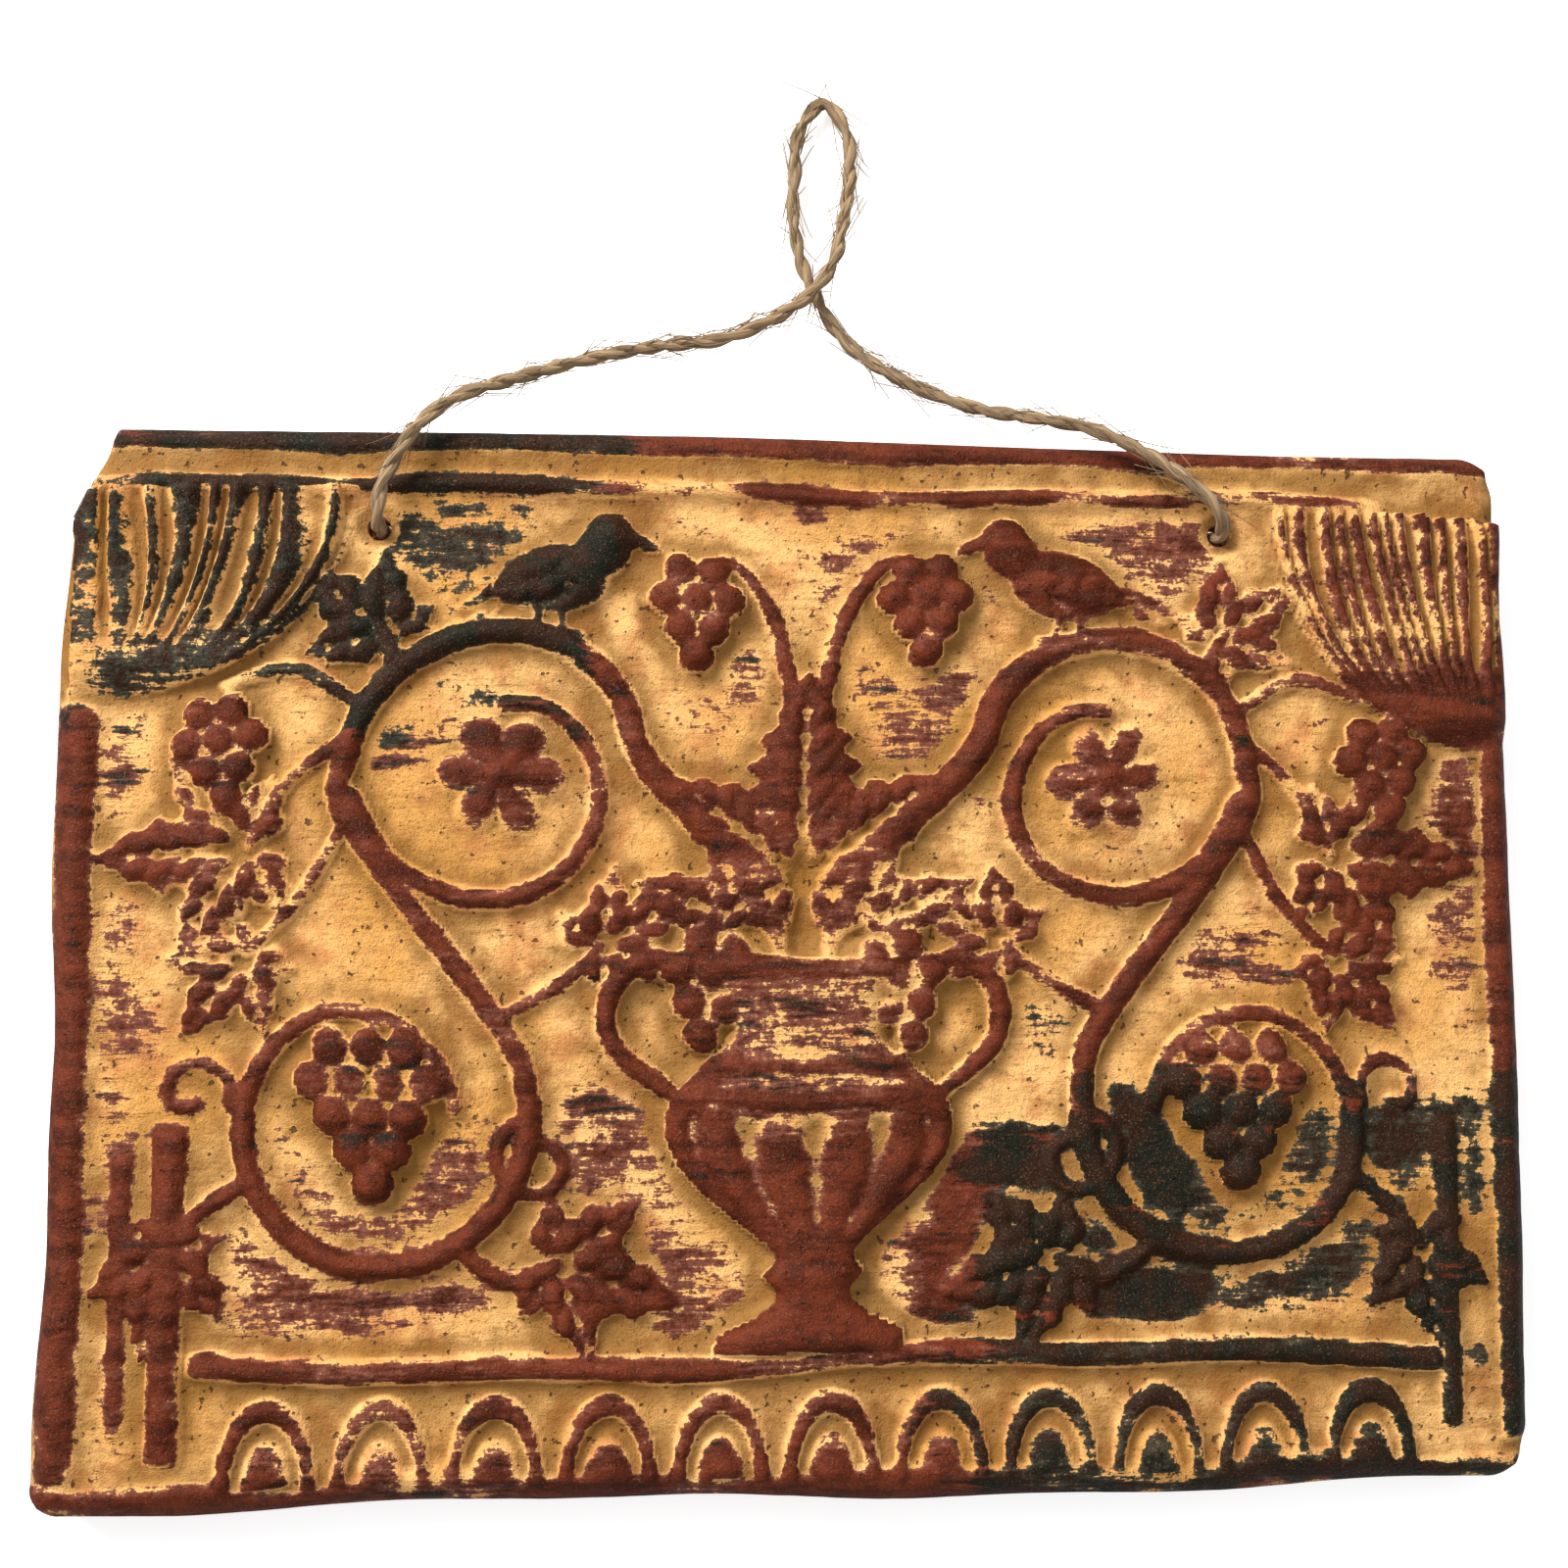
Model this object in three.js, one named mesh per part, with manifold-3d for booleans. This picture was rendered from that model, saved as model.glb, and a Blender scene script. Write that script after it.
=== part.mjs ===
// A hand-moulded terracotta wall plaque with a vine-scroll relief, hung by a jute twine.
// Units are millimetres. The back lies on the wall plane y = 0, the front faces -Y, +Z is up.
// The origin is the point where the nail carries the twine, inside the top of its loop.
// Panel places are (x, z) from the panel's centre, and rise is height over the relief's ground.

import * as THREE from 'three';
import { mergeVertices } from 'three/addons/utils/BufferGeometryUtils.js';
import Module from 'manifold-3d';

const wasm = await Module();
wasm.setup();

// ---------------------------------------------------------------- driving dimensions

const PLAQUE_WIDTH = 226;
const PLAQUE_HEIGHT = 161.5;
const PLAQUE_CENTRE = { x: -4, z: -138.4 };
const GROUND_DEPTH = 9.5;        // wall plane to the plain ground of the relief
const EDGE_WIDTH = 4.5;          // how far in from the outline the front edge is rounded
const EDGE_DROP = 2.6;           // how far that rounding falls back
const BACK_EDGE = 1.0;           // small rounding of the back edge
const ROOT = -0.6;               // how far each raised form is rooted in the ground

// Corner cuts: reach along X and Z, and whether the corner is a straight chip.
const CORNERS = {
  topLeft: { x: 7, z: 15, chipped: true },
  topRight: { x: 7, z: 7, chipped: false },
  bottomRight: { x: 6.5, z: 6.5, chipped: false },
  bottomLeft: { x: 4, z: 4, chipped: false },
};

const HOLE_DIAMETER = 3.6;
const HOLES = [{ x: -66, z: 65.5 }, { x: 66.3, z: 67 }];
const HOLLOW_RADIUS = 9;         // thumb-pressed hollow behind each hole: sphere radius
const HOLLOW_DEPTH = 3.8;

const RIM = { inner: 77.9, height: 1.7 };
const RIDGE = { low: 70.8, high: 73.9, height: 1.9, fadesAt: 90 };
const LEDGE = { z: -60.5, half: 2.1, height: 2.6, left: -90, right: 97 };
const TONGUE = { count: 11, half: 7.2, tall: 13, foot: -77.5, height: 2.2 };
const FOOT = { z: -76.6, height: 1.2 };

// Grapes: facets, reach and row spacing as shares of their pitch, and rise.
const GRAPE = { sides: 5, reach: 0.56, rows: 0.86, height: 4.2 };
const SPIRAL_STEP = 36;          // degrees between the points of a spiral

const TWINE_DIAMETER = 2.3;
const TWINE_SIDES = 8;
const TWINE_STEPS = 46;
const KNOT = { radius: 2.9, halfDepth: 1.45, depth: -1.95 };

const CLAY = { color: 0xb8732f, roughness: 0.7, metalness: 0 };
const JUTE = { color: 0xa8824f, roughness: 0.95, metalness: 0 };

// ---------------------------------------------------------------- small maths

const radians = (angle) => (angle * Math.PI) / 180;
const range = (count) => Array.from({ length: count }, (_, i) => i);

// Value of a smooth line through stations [position, value].
function profile(stations, v) {
  const last = stations.length - 1;
  let i = 0;
  while (i < last - 1 && v > stations[i + 1][0]) i++;
  const slope = (k) => {
    const [p0, v0] = stations[Math.max(k - 1, 0)];
    const [p1, v1] = stations[Math.min(k + 1, last)];
    return (v1 - v0) / (p1 - p0);
  };
  const [from, a] = stations[i];
  const [to, b] = stations[i + 1];
  const span = to - from;
  const t = (v - from) / span;
  const bend = (1 - t) * (slope(i) * span + a - b) + t * (b - a - slope(i + 1) * span);
  return a + (b - a) * t + t * (1 - t) * bend;
}

// Nothing on the panel was pressed quite straight: every form is shifted a little by its place.
function handMade(x, z) {
  return [
    x - 0.7 * Math.sin(z / 15 + 1) - 0.4 * Math.sin(x / 11 + z / 19),
    z - 0.7 * Math.sin(x / 21 + 2) - 0.4 * Math.sin(x / 9 - z / 14),
  ];
}

// A point of a form: its place on the panel and its rise over the ground.
function onRelief([x, z, rise]) {
  const [px, pz] = handMade(x, z);
  return new THREE.Vector3(px, -(GROUND_DEPTH + rise), pz);
}

// ---------------------------------------------------------------- joins and cuts

function toManifold(geometry) {
  const plain = geometry.clone();
  plain.deleteAttribute('normal');
  plain.deleteAttribute('uv');
  const merged = mergeVertices(plain, 1e-4);
  return new wasm.Manifold(new wasm.Mesh({
    numProp: 3,
    vertProperties: new Float32Array(merged.attributes.position.array),
    triVerts: new Uint32Array(merged.index.array),
  }));
}

function toGeometry(solid) {
  const mesh = solid.getMesh();
  const geometry = new THREE.BufferGeometry();
  geometry.setAttribute('position', new THREE.BufferAttribute(mesh.vertProperties, 3));
  geometry.setIndex(new THREE.BufferAttribute(mesh.triVerts, 1));
  geometry.computeVertexNormals();
  return geometry;
}

// A solid from points and triangles, turned right side out.
function closedSolid(points, triangles) {
  let volume = 0;
  for (const [a, b, c] of triangles) {
    volume += points[a].dot(points[b].clone().cross(points[c]));
  }
  const outward = volume > 0 ? triangles : triangles.map(([a, b, c]) => [a, c, b]);
  const geometry = new THREE.BufferGeometry().setFromPoints(points);
  geometry.setIndex(outward.flat());
  return toManifold(geometry);
}

// A solid through sections, which are rings of the same number of points, with flat ends.
function lofted(sections) {
  const count = sections[0].length;
  const triangles = [];
  for (let s = 1; s < sections.length; s++) {
    for (let k = 0; k < count; k++) {
      const [a, b] = [(s - 1) * count + k, (s - 1) * count + ((k + 1) % count)];
      triangles.push([a, b, b + count], [a, b + count, a + count]);
    }
  }
  const end = (sections.length - 1) * count;
  for (let k = 1; k < count - 1; k++) {
    triangles.push([0, k + 1, k], [end, end + k, end + k + 1]);
  }
  return closedSolid(sections.flat(), triangles);
}

// ---------------------------------------------------------------- raised forms

// A domed boss with a shoulder ring: half length and half width along its turned axes.
function mound(x, z, halfLength, halfWidth, turn, height) {
  const sides = 8;
  const shoulder = 0.72;
  const c = Math.cos(turn);
  const s = Math.sin(turn);
  const ring = (share, rise) => range(sides).map((k) => {
    const angle = ((k + 0.5) * 2 * Math.PI) / sides;
    const a = halfLength * share * Math.cos(angle);
    const b = halfWidth * share * Math.sin(angle);
    return onRelief([x + a * c - b * s, z + a * s + b * c, rise]);
  });
  const points = [...ring(1, ROOT), ...ring(shoulder, height * shoulder)];
  points.push(onRelief([x, z, height]), onRelief([x, z, ROOT]));
  const [top, base] = [2 * sides, 2 * sides + 1];
  const triangles = range(sides).flatMap((k) => {
    const next = (k + 1) % sides;
    return [
      [k, next, sides + next], [k, sides + next, sides + k],
      [sides + k, sides + next, top], [next, k, base],
    ];
  });
  return closedSolid(points, triangles);
}

// A small pointed stud: half length and half width along its turned axes.
function stud(x, z, halfLength, halfWidth, turn, height, sides = 6) {
  const c = Math.cos(turn);
  const s = Math.sin(turn);
  const points = range(sides).map((k) => {
    const angle = (k * 2 * Math.PI) / sides;
    const a = halfLength * Math.cos(angle);
    const b = halfWidth * Math.sin(angle);
    return onRelief([x + a * c - b * s, z + a * s + b * c, ROOT]);
  });
  points.push(onRelief([x, z, height]), onRelief([x, z, ROOT]));
  const triangles = range(sides).flatMap((k) => {
    const next = (k + 1) % sides;
    return [[k, next, sides], [next, k, sides + 1]];
  });
  return closedSolid(points, triangles);
}

// A strip with a ridged section along a line of [x, z], from one half width to another.
function strip(line, fromHalf, toHalf, height) {
  return lofted(line.map(([x, z], i) => {
    const [bx, bz] = line[Math.max(i - 1, 0)];
    const [ax, az] = line[Math.min(i + 1, line.length - 1)];
    const long = Math.hypot(ax - bx, az - bz);
    const [nx, nz] = [-(az - bz) / long, (ax - bx) / long];
    const half = fromHalf + ((toHalf - fromHalf) * i) / (line.length - 1);
    const top = height * (0.55 + (0.45 * half) / fromHalf);
    const across = [[-1, ROOT], [0, top], [1, ROOT]];
    return across.map(([share, rise]) => onRelief([x + nx * half * share, z + nz * half * share, rise]));
  }));
}

// A stem along a smooth curve through a few points.
function stem(points, fromHalf, toHalf, height, steps = 2 * (points.length - 1)) {
  const curve = new THREE.SplineCurve(points.map(([x, z]) => new THREE.Vector2(x, z)));
  return strip(curve.getPoints(steps).map((p) => [p.x, p.y]), fromHalf, toHalf, height);
}

// Points of a spiral about a centre, by angle in degrees and radius.
function spiral(x, z, fromAngle, toAngle, fromRadius, toRadius) {
  const steps = Math.ceil(Math.abs(toAngle - fromAngle) / SPIRAL_STEP);
  return range(steps + 1).map((i) => {
    const angle = radians(fromAngle + ((toAngle - fromAngle) * i) / steps);
    const radius = fromRadius + ((toRadius - fromRadius) * i) / steps;
    return [x + radius * Math.cos(angle), z + radius * Math.sin(angle)];
  });
}

// Lobes of a vine leaf from its back left to its back right, as shares of its size. notch is
// the reach of the leaf between a lobe and the next.
const LOBES = [
  { angle: -112, length: 0.52, half: 0.18, notch: 0.38 },
  { angle: -52, length: 0.8, half: 0.23, notch: 0.55 },
  { angle: 0, length: 1, half: 0.27, notch: 0.55 },
  { angle: 52, length: 0.8, half: 0.23, notch: 0.38 },
  { angle: 112, length: 0.52, half: 0.18, notch: 0.08 },
];
const LOBE_SHOULDER = { along: 0.68, across: 0.8 };

// A five-lobed vine leaf. (x, z) is where its stalk meets the lobes.
function vineLeaf(x, z, size, turn, height = 2.9) {
  const place = (radius, angle, rise) => {
    const direction = radians(angle + turn);
    return onRelief([x + size * radius * Math.cos(direction), z + size * radius * Math.sin(direction), rise]);
  };
  const rim = LOBES.flatMap(({ angle, length, half, notch }, i) => {
    const along = LOBE_SHOULDER.along * length;
    const across = LOBE_SHOULDER.across * half;
    const open = (Math.atan2(across, along) * 180) / Math.PI;
    const next = i < LOBES.length - 1 ? LOBES[i + 1].angle : 360 + LOBES[0].angle;
    const shoulder = Math.hypot(along, across);
    return [[shoulder, angle - open], [length, angle], [shoulder, angle + open], [notch, (angle + next) / 2]];
  });
  const points = rim.map(([radius, angle]) => place(radius, angle, ROOT));
  points.push(...LOBES.map(({ angle, length }) => place(0.55 * length, angle, height)));
  points.push(place(0, 0, 0.7 * height), place(0, 0, ROOT));
  const ridges = rim.length;
  const [middle, base] = [points.length - 2, points.length - 1];
  const triangles = LOBES.flatMap((_, i) => {
    const [before, left, tip, right, notch] = [-1, 0, 1, 2, 3].map((k) => (4 * i + k + ridges) % ridges);
    const ridge = ridges + i;
    return [
      [before, left, ridge], [left, tip, ridge], [tip, right, ridge], [right, notch, ridge],
      [middle, before, ridge], [ridge, notch, middle],
      [left, before, base], [tip, left, base], [right, tip, base], [notch, right, base],
    ];
  });
  return closedSolid(points, triangles);
}

// A bunch of grapes that hangs from (x, z) along its turn. rows holds the grapes in each row.
function grapeBunch(x, z, turn, rows, pitch = 5.3) {
  const c = Math.cos(radians(turn));
  const s = Math.sin(radians(turn));
  return rows.flatMap((count, row) => range(count).map((i) => {
    const a = (row + 0.5) * pitch * GRAPE.rows;
    const b = (i - (count - 1) / 2) * pitch;
    const reach = GRAPE.reach * pitch;
    return stud(x + a * c - b * s, z + a * s + b * c, reach, reach, 0, GRAPE.height, GRAPE.sides);
  }));
}

// A flower: petals round a button.
function rosette(x, z, radius, petals) {
  const leaves = range(petals).map((k) => {
    const angle = (k * 2 * Math.PI) / petals;
    const [px, pz] = [x + 0.6 * radius * Math.cos(angle), z + 0.6 * radius * Math.sin(angle)];
    return stud(px, pz, 0.42 * radius, 0.3 * radius, angle, 2.6);
  });
  return [...leaves, stud(x, z, 0.3 * radius, 0.3 * radius, 0, 3.4)];
}

// A narrow pointed blade, such as a wing or tail feather. (x, z) is its root.
function blade(x, z, length, half, turn, height) {
  const c = Math.cos(turn);
  const s = Math.sin(turn);
  const place = (a, b, rise) => onRelief([x + a * c - b * s, z + a * s + b * c, rise]);
  const widest = 0.4 * length;
  const points = [place(0, 0, ROOT), place(widest, -half, ROOT), place(length, 0, ROOT)];
  points.push(place(widest, half, ROOT), place(widest, 0, height));
  const triangles = range(4).map((k) => [k, (k + 1) % 4, 4]);
  return closedSolid(points, [...triangles, [0, 2, 1], [0, 3, 2]]);
}

// ---------------------------------------------------------------- urn, birds and drapes

const URN_FOOT = -59;
const URN_HALF_WIDTHS = [
  [0, 14], [3, 13.5], [6, 8], [9, 5.5], [12, 7.5], [15, 6], [20, 11.5], [26, 18.5],
  [32, 22], [38, 21], [43, 16.5], [48, 12], [53, 12], [57, 16], [60, 17],
];
const URN_LEVELS = [0, 3, 9, 12, 15, 20, 26, 32, 36.5, 38.5, 43.5, 48, 55, 58.5, 60];
const URN_HOOPS = [12, 38.5, 43.5, 58.5];
const URN_FACETS = [-90, -55, -20, 20, 55, 90];

function urn() {
  return lofted(URN_LEVELS.map((level) => {
    const half = profile(URN_HALF_WIDTHS, level);
    const hoop = URN_HOOPS.includes(level) ? 0.8 : 0;
    const ring = URN_FACETS.map((facet) => {
      const bulge = 2 + 2.4 * Math.cos(radians(facet)) + hoop;
      return onRelief([half * Math.sin(radians(facet)), URN_FOOT + level, bulge]);
    });
    const foot = [half, -half].map((x) => onRelief([x, URN_FOOT + level, ROOT]));
    return [...ring, ...foot];
  }));
}

function urnHandle(side) {
  const points = [[15, -2.5], [24, 0], [30, -6], [29, -14], [21.5, -20]];
  return stem(points.map(([x, z]) => [side * x, z]), 2, 1.6, 2.9);
}

// A perching bird that looks towards -side.
function bird(x, z, side) {
  const at = (dx, dz) => [x + side * dx, z + dz];
  const lean = (angle) => radians(side > 0 ? angle : 180 - angle);
  return [
    mound(x, z, 9.5, 5.8, lean(-12), 3.1),
    mound(...at(-8, 5), 5.2, 4.4, lean(-40), 2.9),
    mound(...at(-9.2, 7.2), 4.1, 3.8, 0, 3.3),
    strip([at(-11, 7.6), at(-16.5, 5.4)], 1.7, 0.7, 2.3),
    strip([at(-1, -4), at(-1.6, -7.6), at(-4.4, -8.2)], 1, 0.9, 1.7),
    strip([at(2.6, -4), at(2.2, -7.6), at(-0.4, -8.2)], 1, 0.9, 1.7),
    blade(...at(-3, 1.6), 15, 3.9, lean(-14), 4.2),
    blade(...at(6, 0), 16, 2.1, lean(-24), 2),
    blade(...at(6, -2.4), 15, 2, lean(-24), 1.8),
  ];
}

// Gathered cloth in an upper corner. Its folds fall from the ridge and curve to the side edge.
const DRAPES = [
  { side: -1, edge: -108.5, wide: 39, fall: 33, folds: 9 },
  { side: 1, edge: 110.5, wide: 38, fall: 38, folds: 13 },
];

function drape({ side, edge, wide, fall, folds }) {
  const levels = [0, 0.35, 0.62, 0.84, 0.96];
  return lofted(levels.map((down) => {
    const reach = wide * Math.sqrt(1 - down * down);
    const z = RIDGE.low - down * fall;
    const x = (spread) => edge - side * reach * spread;
    const ring = range(2 * folds).map((k) => {
      const rise = k % 2 === 0 ? 2.6 : 0.9;
      return onRelief([x(k / (2 * folds)), z, rise]);
    });
    return [...ring, onRelief([x(1), z, ROOT]), onRelief([x(0), z, ROOT])];
  }));
}

// ---------------------------------------------------------------- frame of the panel

// Straight upright bars: centre x, half width, low and high ends.
const BARS = [
  { x: -110.2, half: 3.2, low: -76, high: 36, height: 1.6 },
  { x: -94.5, half: 2.7, low: -74, high: -27, height: 2.2 },
  { x: -101.5, half: 1.5, low: -70, high: -31, height: 1.2 },
  { x: 110.2, half: 2.6, low: -74, high: 33, height: 1.8 },
  { x: 100, half: 1.7, low: -72, high: -27, height: 1.8 },
];

// A line of evenly spaced places from one x to another, at the height of a wave.
function waveLine(fromX, toX, steps, wave) {
  return range(steps + 1).map((i) => {
    const x = fromX + ((toX - fromX) * i) / steps;
    return [x, wave(x)];
  });
}

function frameForms() {
  const ledge = (x) => LEDGE.z + 0.8 * Math.sin(x / 23) + 0.5 * Math.sin(x / 9);
  const foot = (x) => FOOT.z - 1.6 + 0.8 * Math.sin(x / 11) + 0.6 * Math.sin(x / 5.3);
  const ridgeMiddle = (RIDGE.low + RIDGE.high) / 2;
  const ridgeHalf = (RIDGE.high - RIDGE.low) / 2;
  const rimHalf = (PLAQUE_HEIGHT / 2 - RIM.inner) / 2 + 0.4;
  const rimMiddle = PLAQUE_HEIGHT / 2 - rimHalf - 0.3;
  return [
    ...BARS.map(({ x, half, low, high, height }) => {
      const steps = range(4).map((i) => [x, low + ((high - low) * i) / 3]);
      return strip(steps, half, half, height);
    }),
    strip(waveLine(LEDGE.left, LEDGE.right, 14, ledge), LEDGE.half, LEDGE.half, LEDGE.height),
    strip(waveLine(-104, RIDGE.fadesAt, 8, () => ridgeMiddle), ridgeHalf, ridgeHalf * 0.6, RIDGE.height),
    strip(waveLine(-102, 103, 8, () => rimMiddle), rimHalf, rimHalf, RIM.height * 0.7),
    strip(waveLine(-106, 104, 11, foot), 1.7, 1.7, FOOT.height * 0.7),
  ];
}

// A row of standing tongues under the ledge, each an egg inside a raised rim.
function tongues() {
  const pitch = (LEDGE.right - LEDGE.left - 4) / TONGUE.count;
  return range(TONGUE.count).flatMap((step) => {
    const middle = LEDGE.left + 2 + (step + 0.5) * pitch;
    const arch = range(6).map((i) => {
      const angle = (Math.PI * i) / 5;
      const out = 0.86;            // the middle of the rim, as a share of the tongue
      const rise = out * TONGUE.tall * Math.sin(angle);
      return [middle + out * TONGUE.half * Math.cos(angle), TONGUE.foot + rise];
    });
    const egg = stud(middle, TONGUE.foot + 2.6, 0.5 * TONGUE.half, 0.36 * TONGUE.tall, 0, TONGUE.height);
    return [strip(arch, 1.5, 1.5, TONGUE.height), egg];
  });
}

// ---------------------------------------------------------------- the vine

// One half of the vine: side is -1 for the left half and 1 for the right.
function vineSide(side) {
  const flip = (points) => points.map(([x, z]) => [side * x, z]);
  const stalk = (...points) => stem(flip(points), 1.3, 1.1, 1.9, points.length);
  const leaf = (x, z, size, turn) => vineLeaf(side * x, z, size, side > 0 ? turn : 180 - turn);
  const upper = { x: 47, z: 27 };
  const lower = { x: 66, z: -25 };
  const main = [
    [4, 2], [10, 14], ...spiral(upper.x, upper.z, 170, -20, 22, 23),
    ...spiral(lower.x, lower.z, 140, 420, 25, 17), ...spiral(lower.x, lower.z, 440, 530, 16, 13),
  ];
  const curl = spiral(upper.x, upper.z, -10, -270, 22, 11);
  return [
    stem(flip(main), 2.6, 1.4, 2.6, main.length - 1),
    stem(flip(curl), 2, 1.3, 2.4, curl.length - 1),
    ...rosette(side * upper.x, upper.z, 10, 6),
    stalk([64.6, -9.8], [66, -14]),
    ...grapeBunch(side * lower.x, lower.z + 13, -90, [3, 4, 3, 2, 1], 5.6),
    stalk([69, 33], [78, 26], [84, 16]),
    leaf(84, 16, 23, -5),
    stalk([69, 20], [76, 8], [84, 0]),
    leaf(84, -1, 15, -50),
    stalk([53.6, -43.6], [45.5, -49], [38, -46]),
    leaf(38, -46, 19, 195),
    stalk([83.5, -33.8], [91, -39], [95, -44]),
    leaf(95, -44, 16, -80),
    stalk([62, 44], [66, 50]),
    leaf(65, 49, 16, 35),
    stalk([46.6, -9.4], [37, -4], [31, 2]),
    stalk([68, 37.4], [78, 43], [89, 40]),
    leaf(31, 2, 16, 150),
    ...grapeBunch(side * 90, 38, -80, [2, 3, 2, 1], 4.9),
    strip(flip(spiral(41, -31, 60, -330, 7, 1.6)), 1.2, 0.8, 1.8),
    strip(flip(spiral(92, -21, 200, -120, 6, 1.6)), 1.2, 0.8, 1.8),
  ];
}

function centrePiece() {
  const arms = [-1, 1].flatMap((side) => [
    urnHandle(side),
    vineLeaf(side * 9, 5, 19, 90 - side * 68),
    ...grapeBunch(side * 13, 4, -90 + side * 12, [2, 3, 2, 1]),
    stem([[side * 2, 38], [side * 5, 52], [side * 11, 61], [side * 17, 61]], 1.5, 1.1, 2),
    ...grapeBunch(side * 17.5, 62, -90, [2, 3, 2, 1], 4.9),
  ]);
  return [urn(), vineLeaf(0, 12, 33, 90, 3.4), ...arms];
}

// ---------------------------------------------------------------- outline of the slab

// Maps the square s, t in -1..1 to the panel with its cut corners and hand-made edges.
function onPanel(s, t) {
  let x = (s * PLAQUE_WIDTH) / 2;
  let z = (t * PLAQUE_HEIGHT) / 2;
  const vertical = t > 0 ? 'top' : 'bottom';
  const corner = CORNERS[vertical + (s > 0 ? 'Right' : 'Left')];
  const a = (Math.abs(x) - PLAQUE_WIDTH / 2 + corner.x) / corner.x;
  const b = (Math.abs(z) - PLAQUE_HEIGHT / 2 + corner.z) / corner.z;
  if (a > 0 && b > 0) {
    const inX = corner.chipped ? 1 - b / 2 : Math.sqrt(1 - (b * b) / 2);
    const inZ = corner.chipped ? 1 - a / 2 : Math.sqrt(1 - (a * a) / 2);
    x = Math.sign(x) * (PLAQUE_WIDTH / 2 - corner.x * (1 - a * inX));
    z = Math.sign(z) * (PLAQUE_HEIGHT / 2 - corner.z * (1 - b * inZ));
  }
  const sideWobble = s < 0 ? 0.7 * Math.sin(z / 17) + 0.3 * Math.sin(z / 6) : 0.6 * Math.sin(z / 21 + 2);
  const endWobble = t > 0 ? 0.5 * Math.sin(x / 31 + 2) : 0.7 * Math.sin(x / 24) + 0.3 * Math.sin(x / 8);
  return { x: x + s * s * s * sideWobble, z: z + t * t * t * endWobble };
}

// Places along one side of the square, closer together in its two corners.
function sidePlaces(firstCut, lastCut, length, steps) {
  const first = (2 * firstCut) / length;
  const last = (2 * lastCut) / length;
  const corner = [0, 1 / 3, 2 / 3];
  return [
    ...corner.map((share) => -1 + first * share),
    ...range(steps).map((i) => -1 + first + ((2 - first - last) * i) / (steps - 1)),
    ...corner.slice(1).reverse().map((share) => 1 - last * share),
  ];
}

// The outline once round from the lower left corner, as places s, t of the square.
function borderPlaces() {
  const { topLeft, topRight, bottomRight, bottomLeft } = CORNERS;
  const low = sidePlaces(bottomLeft.x, bottomRight.x, PLAQUE_WIDTH, 10).map((s) => [s, -1]);
  const right = sidePlaces(bottomRight.z, topRight.z, PLAQUE_HEIGHT, 8).map((t) => [1, t]);
  const high = sidePlaces(topRight.x, topLeft.x, PLAQUE_WIDTH, 10).map((s) => [-s, 1]);
  const left = sidePlaces(topLeft.z, bottomLeft.z, PLAQUE_HEIGHT, 8).map((t) => [-1, -t]);
  return [...low, ...right, ...high, ...left];
}

function slab() {
  const places = borderPlaces();
  const count = places.length;
  const rings = [[BACK_EDGE, 0], [0, BACK_EDGE], [0, GROUND_DEPTH - EDGE_DROP], [EDGE_WIDTH, GROUND_DEPTH]];
  const points = rings.flatMap(([inset, depth]) => places.map(([s, t]) => {
    const inward = [1 - (2 * inset) / PLAQUE_WIDTH, 1 - (2 * inset) / PLAQUE_HEIGHT];
    const { x, z } = onPanel(s * inward[0], t * inward[1]);
    return new THREE.Vector3(x, -depth, z);
  }));
  const triangles = [];
  for (let r = 1; r < rings.length; r++) {
    for (let k = 0; k < count; k++) {
      const [a, b] = [(r - 1) * count + k, (r - 1) * count + ((k + 1) % count)];
      triangles.push([a, b, b + count], [a, b + count, a + count]);
    }
  }
  const cap = (first, facesBack) => {
    const outline = range(count).map((k) => new THREE.Vector2(points[first + k].x, points[first + k].z));
    for (const [a, b, c] of THREE.ShapeUtils.triangulateShape(outline, [])) {
      const turn = outline[b].clone().sub(outline[a]).cross(outline[c].clone().sub(outline[a]));
      const [i, j] = turn > 0 === facesBack ? [c, b] : [b, c];
      triangles.push([first + a, first + i, first + j]);
    }
  };
  cap(0, true);
  cap((rings.length - 1) * count, false);
  return closedSolid(points, triangles);
}

// ---------------------------------------------------------------- plaque

function plaque() {
  const forms = [
    ...frameForms(), ...tongues(), ...DRAPES.map(drape),
    ...vineSide(-1), ...vineSide(1), ...centrePiece(),
    ...bird(-40, 57.5, -1), ...bird(40, 57.5, 1),
  ];
  let solid = slab();
  for (const form of forms) solid = solid.add(form);
  for (const { x, z } of HOLES) {
    const bore = new THREE.CylinderGeometry(HOLE_DIAMETER / 2, HOLE_DIAMETER / 2, 40, 16);
    const hollow = new THREE.SphereGeometry(HOLLOW_RADIUS, 16, 10);
    hollow.translate(0, HOLLOW_RADIUS - HOLLOW_DEPTH, 0);
    for (const cutter of [bore, hollow]) {
      solid = solid.subtract(toManifold(cutter.translate(x, 0, z)));
    }
  }
  const mesh = new THREE.Mesh(toGeometry(solid), new THREE.MeshStandardMaterial(CLAY));
  mesh.name = 'plaque';
  mesh.position.set(PLAQUE_CENTRE.x, 0, PLAQUE_CENTRE.z);
  return mesh;
}

// ---------------------------------------------------------------- twine
// From the left knot, out of its hole, over the top edge, up one side of the loop, over the
// nail, down the other side behind the first strand, and into the right hole to its knot.

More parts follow.
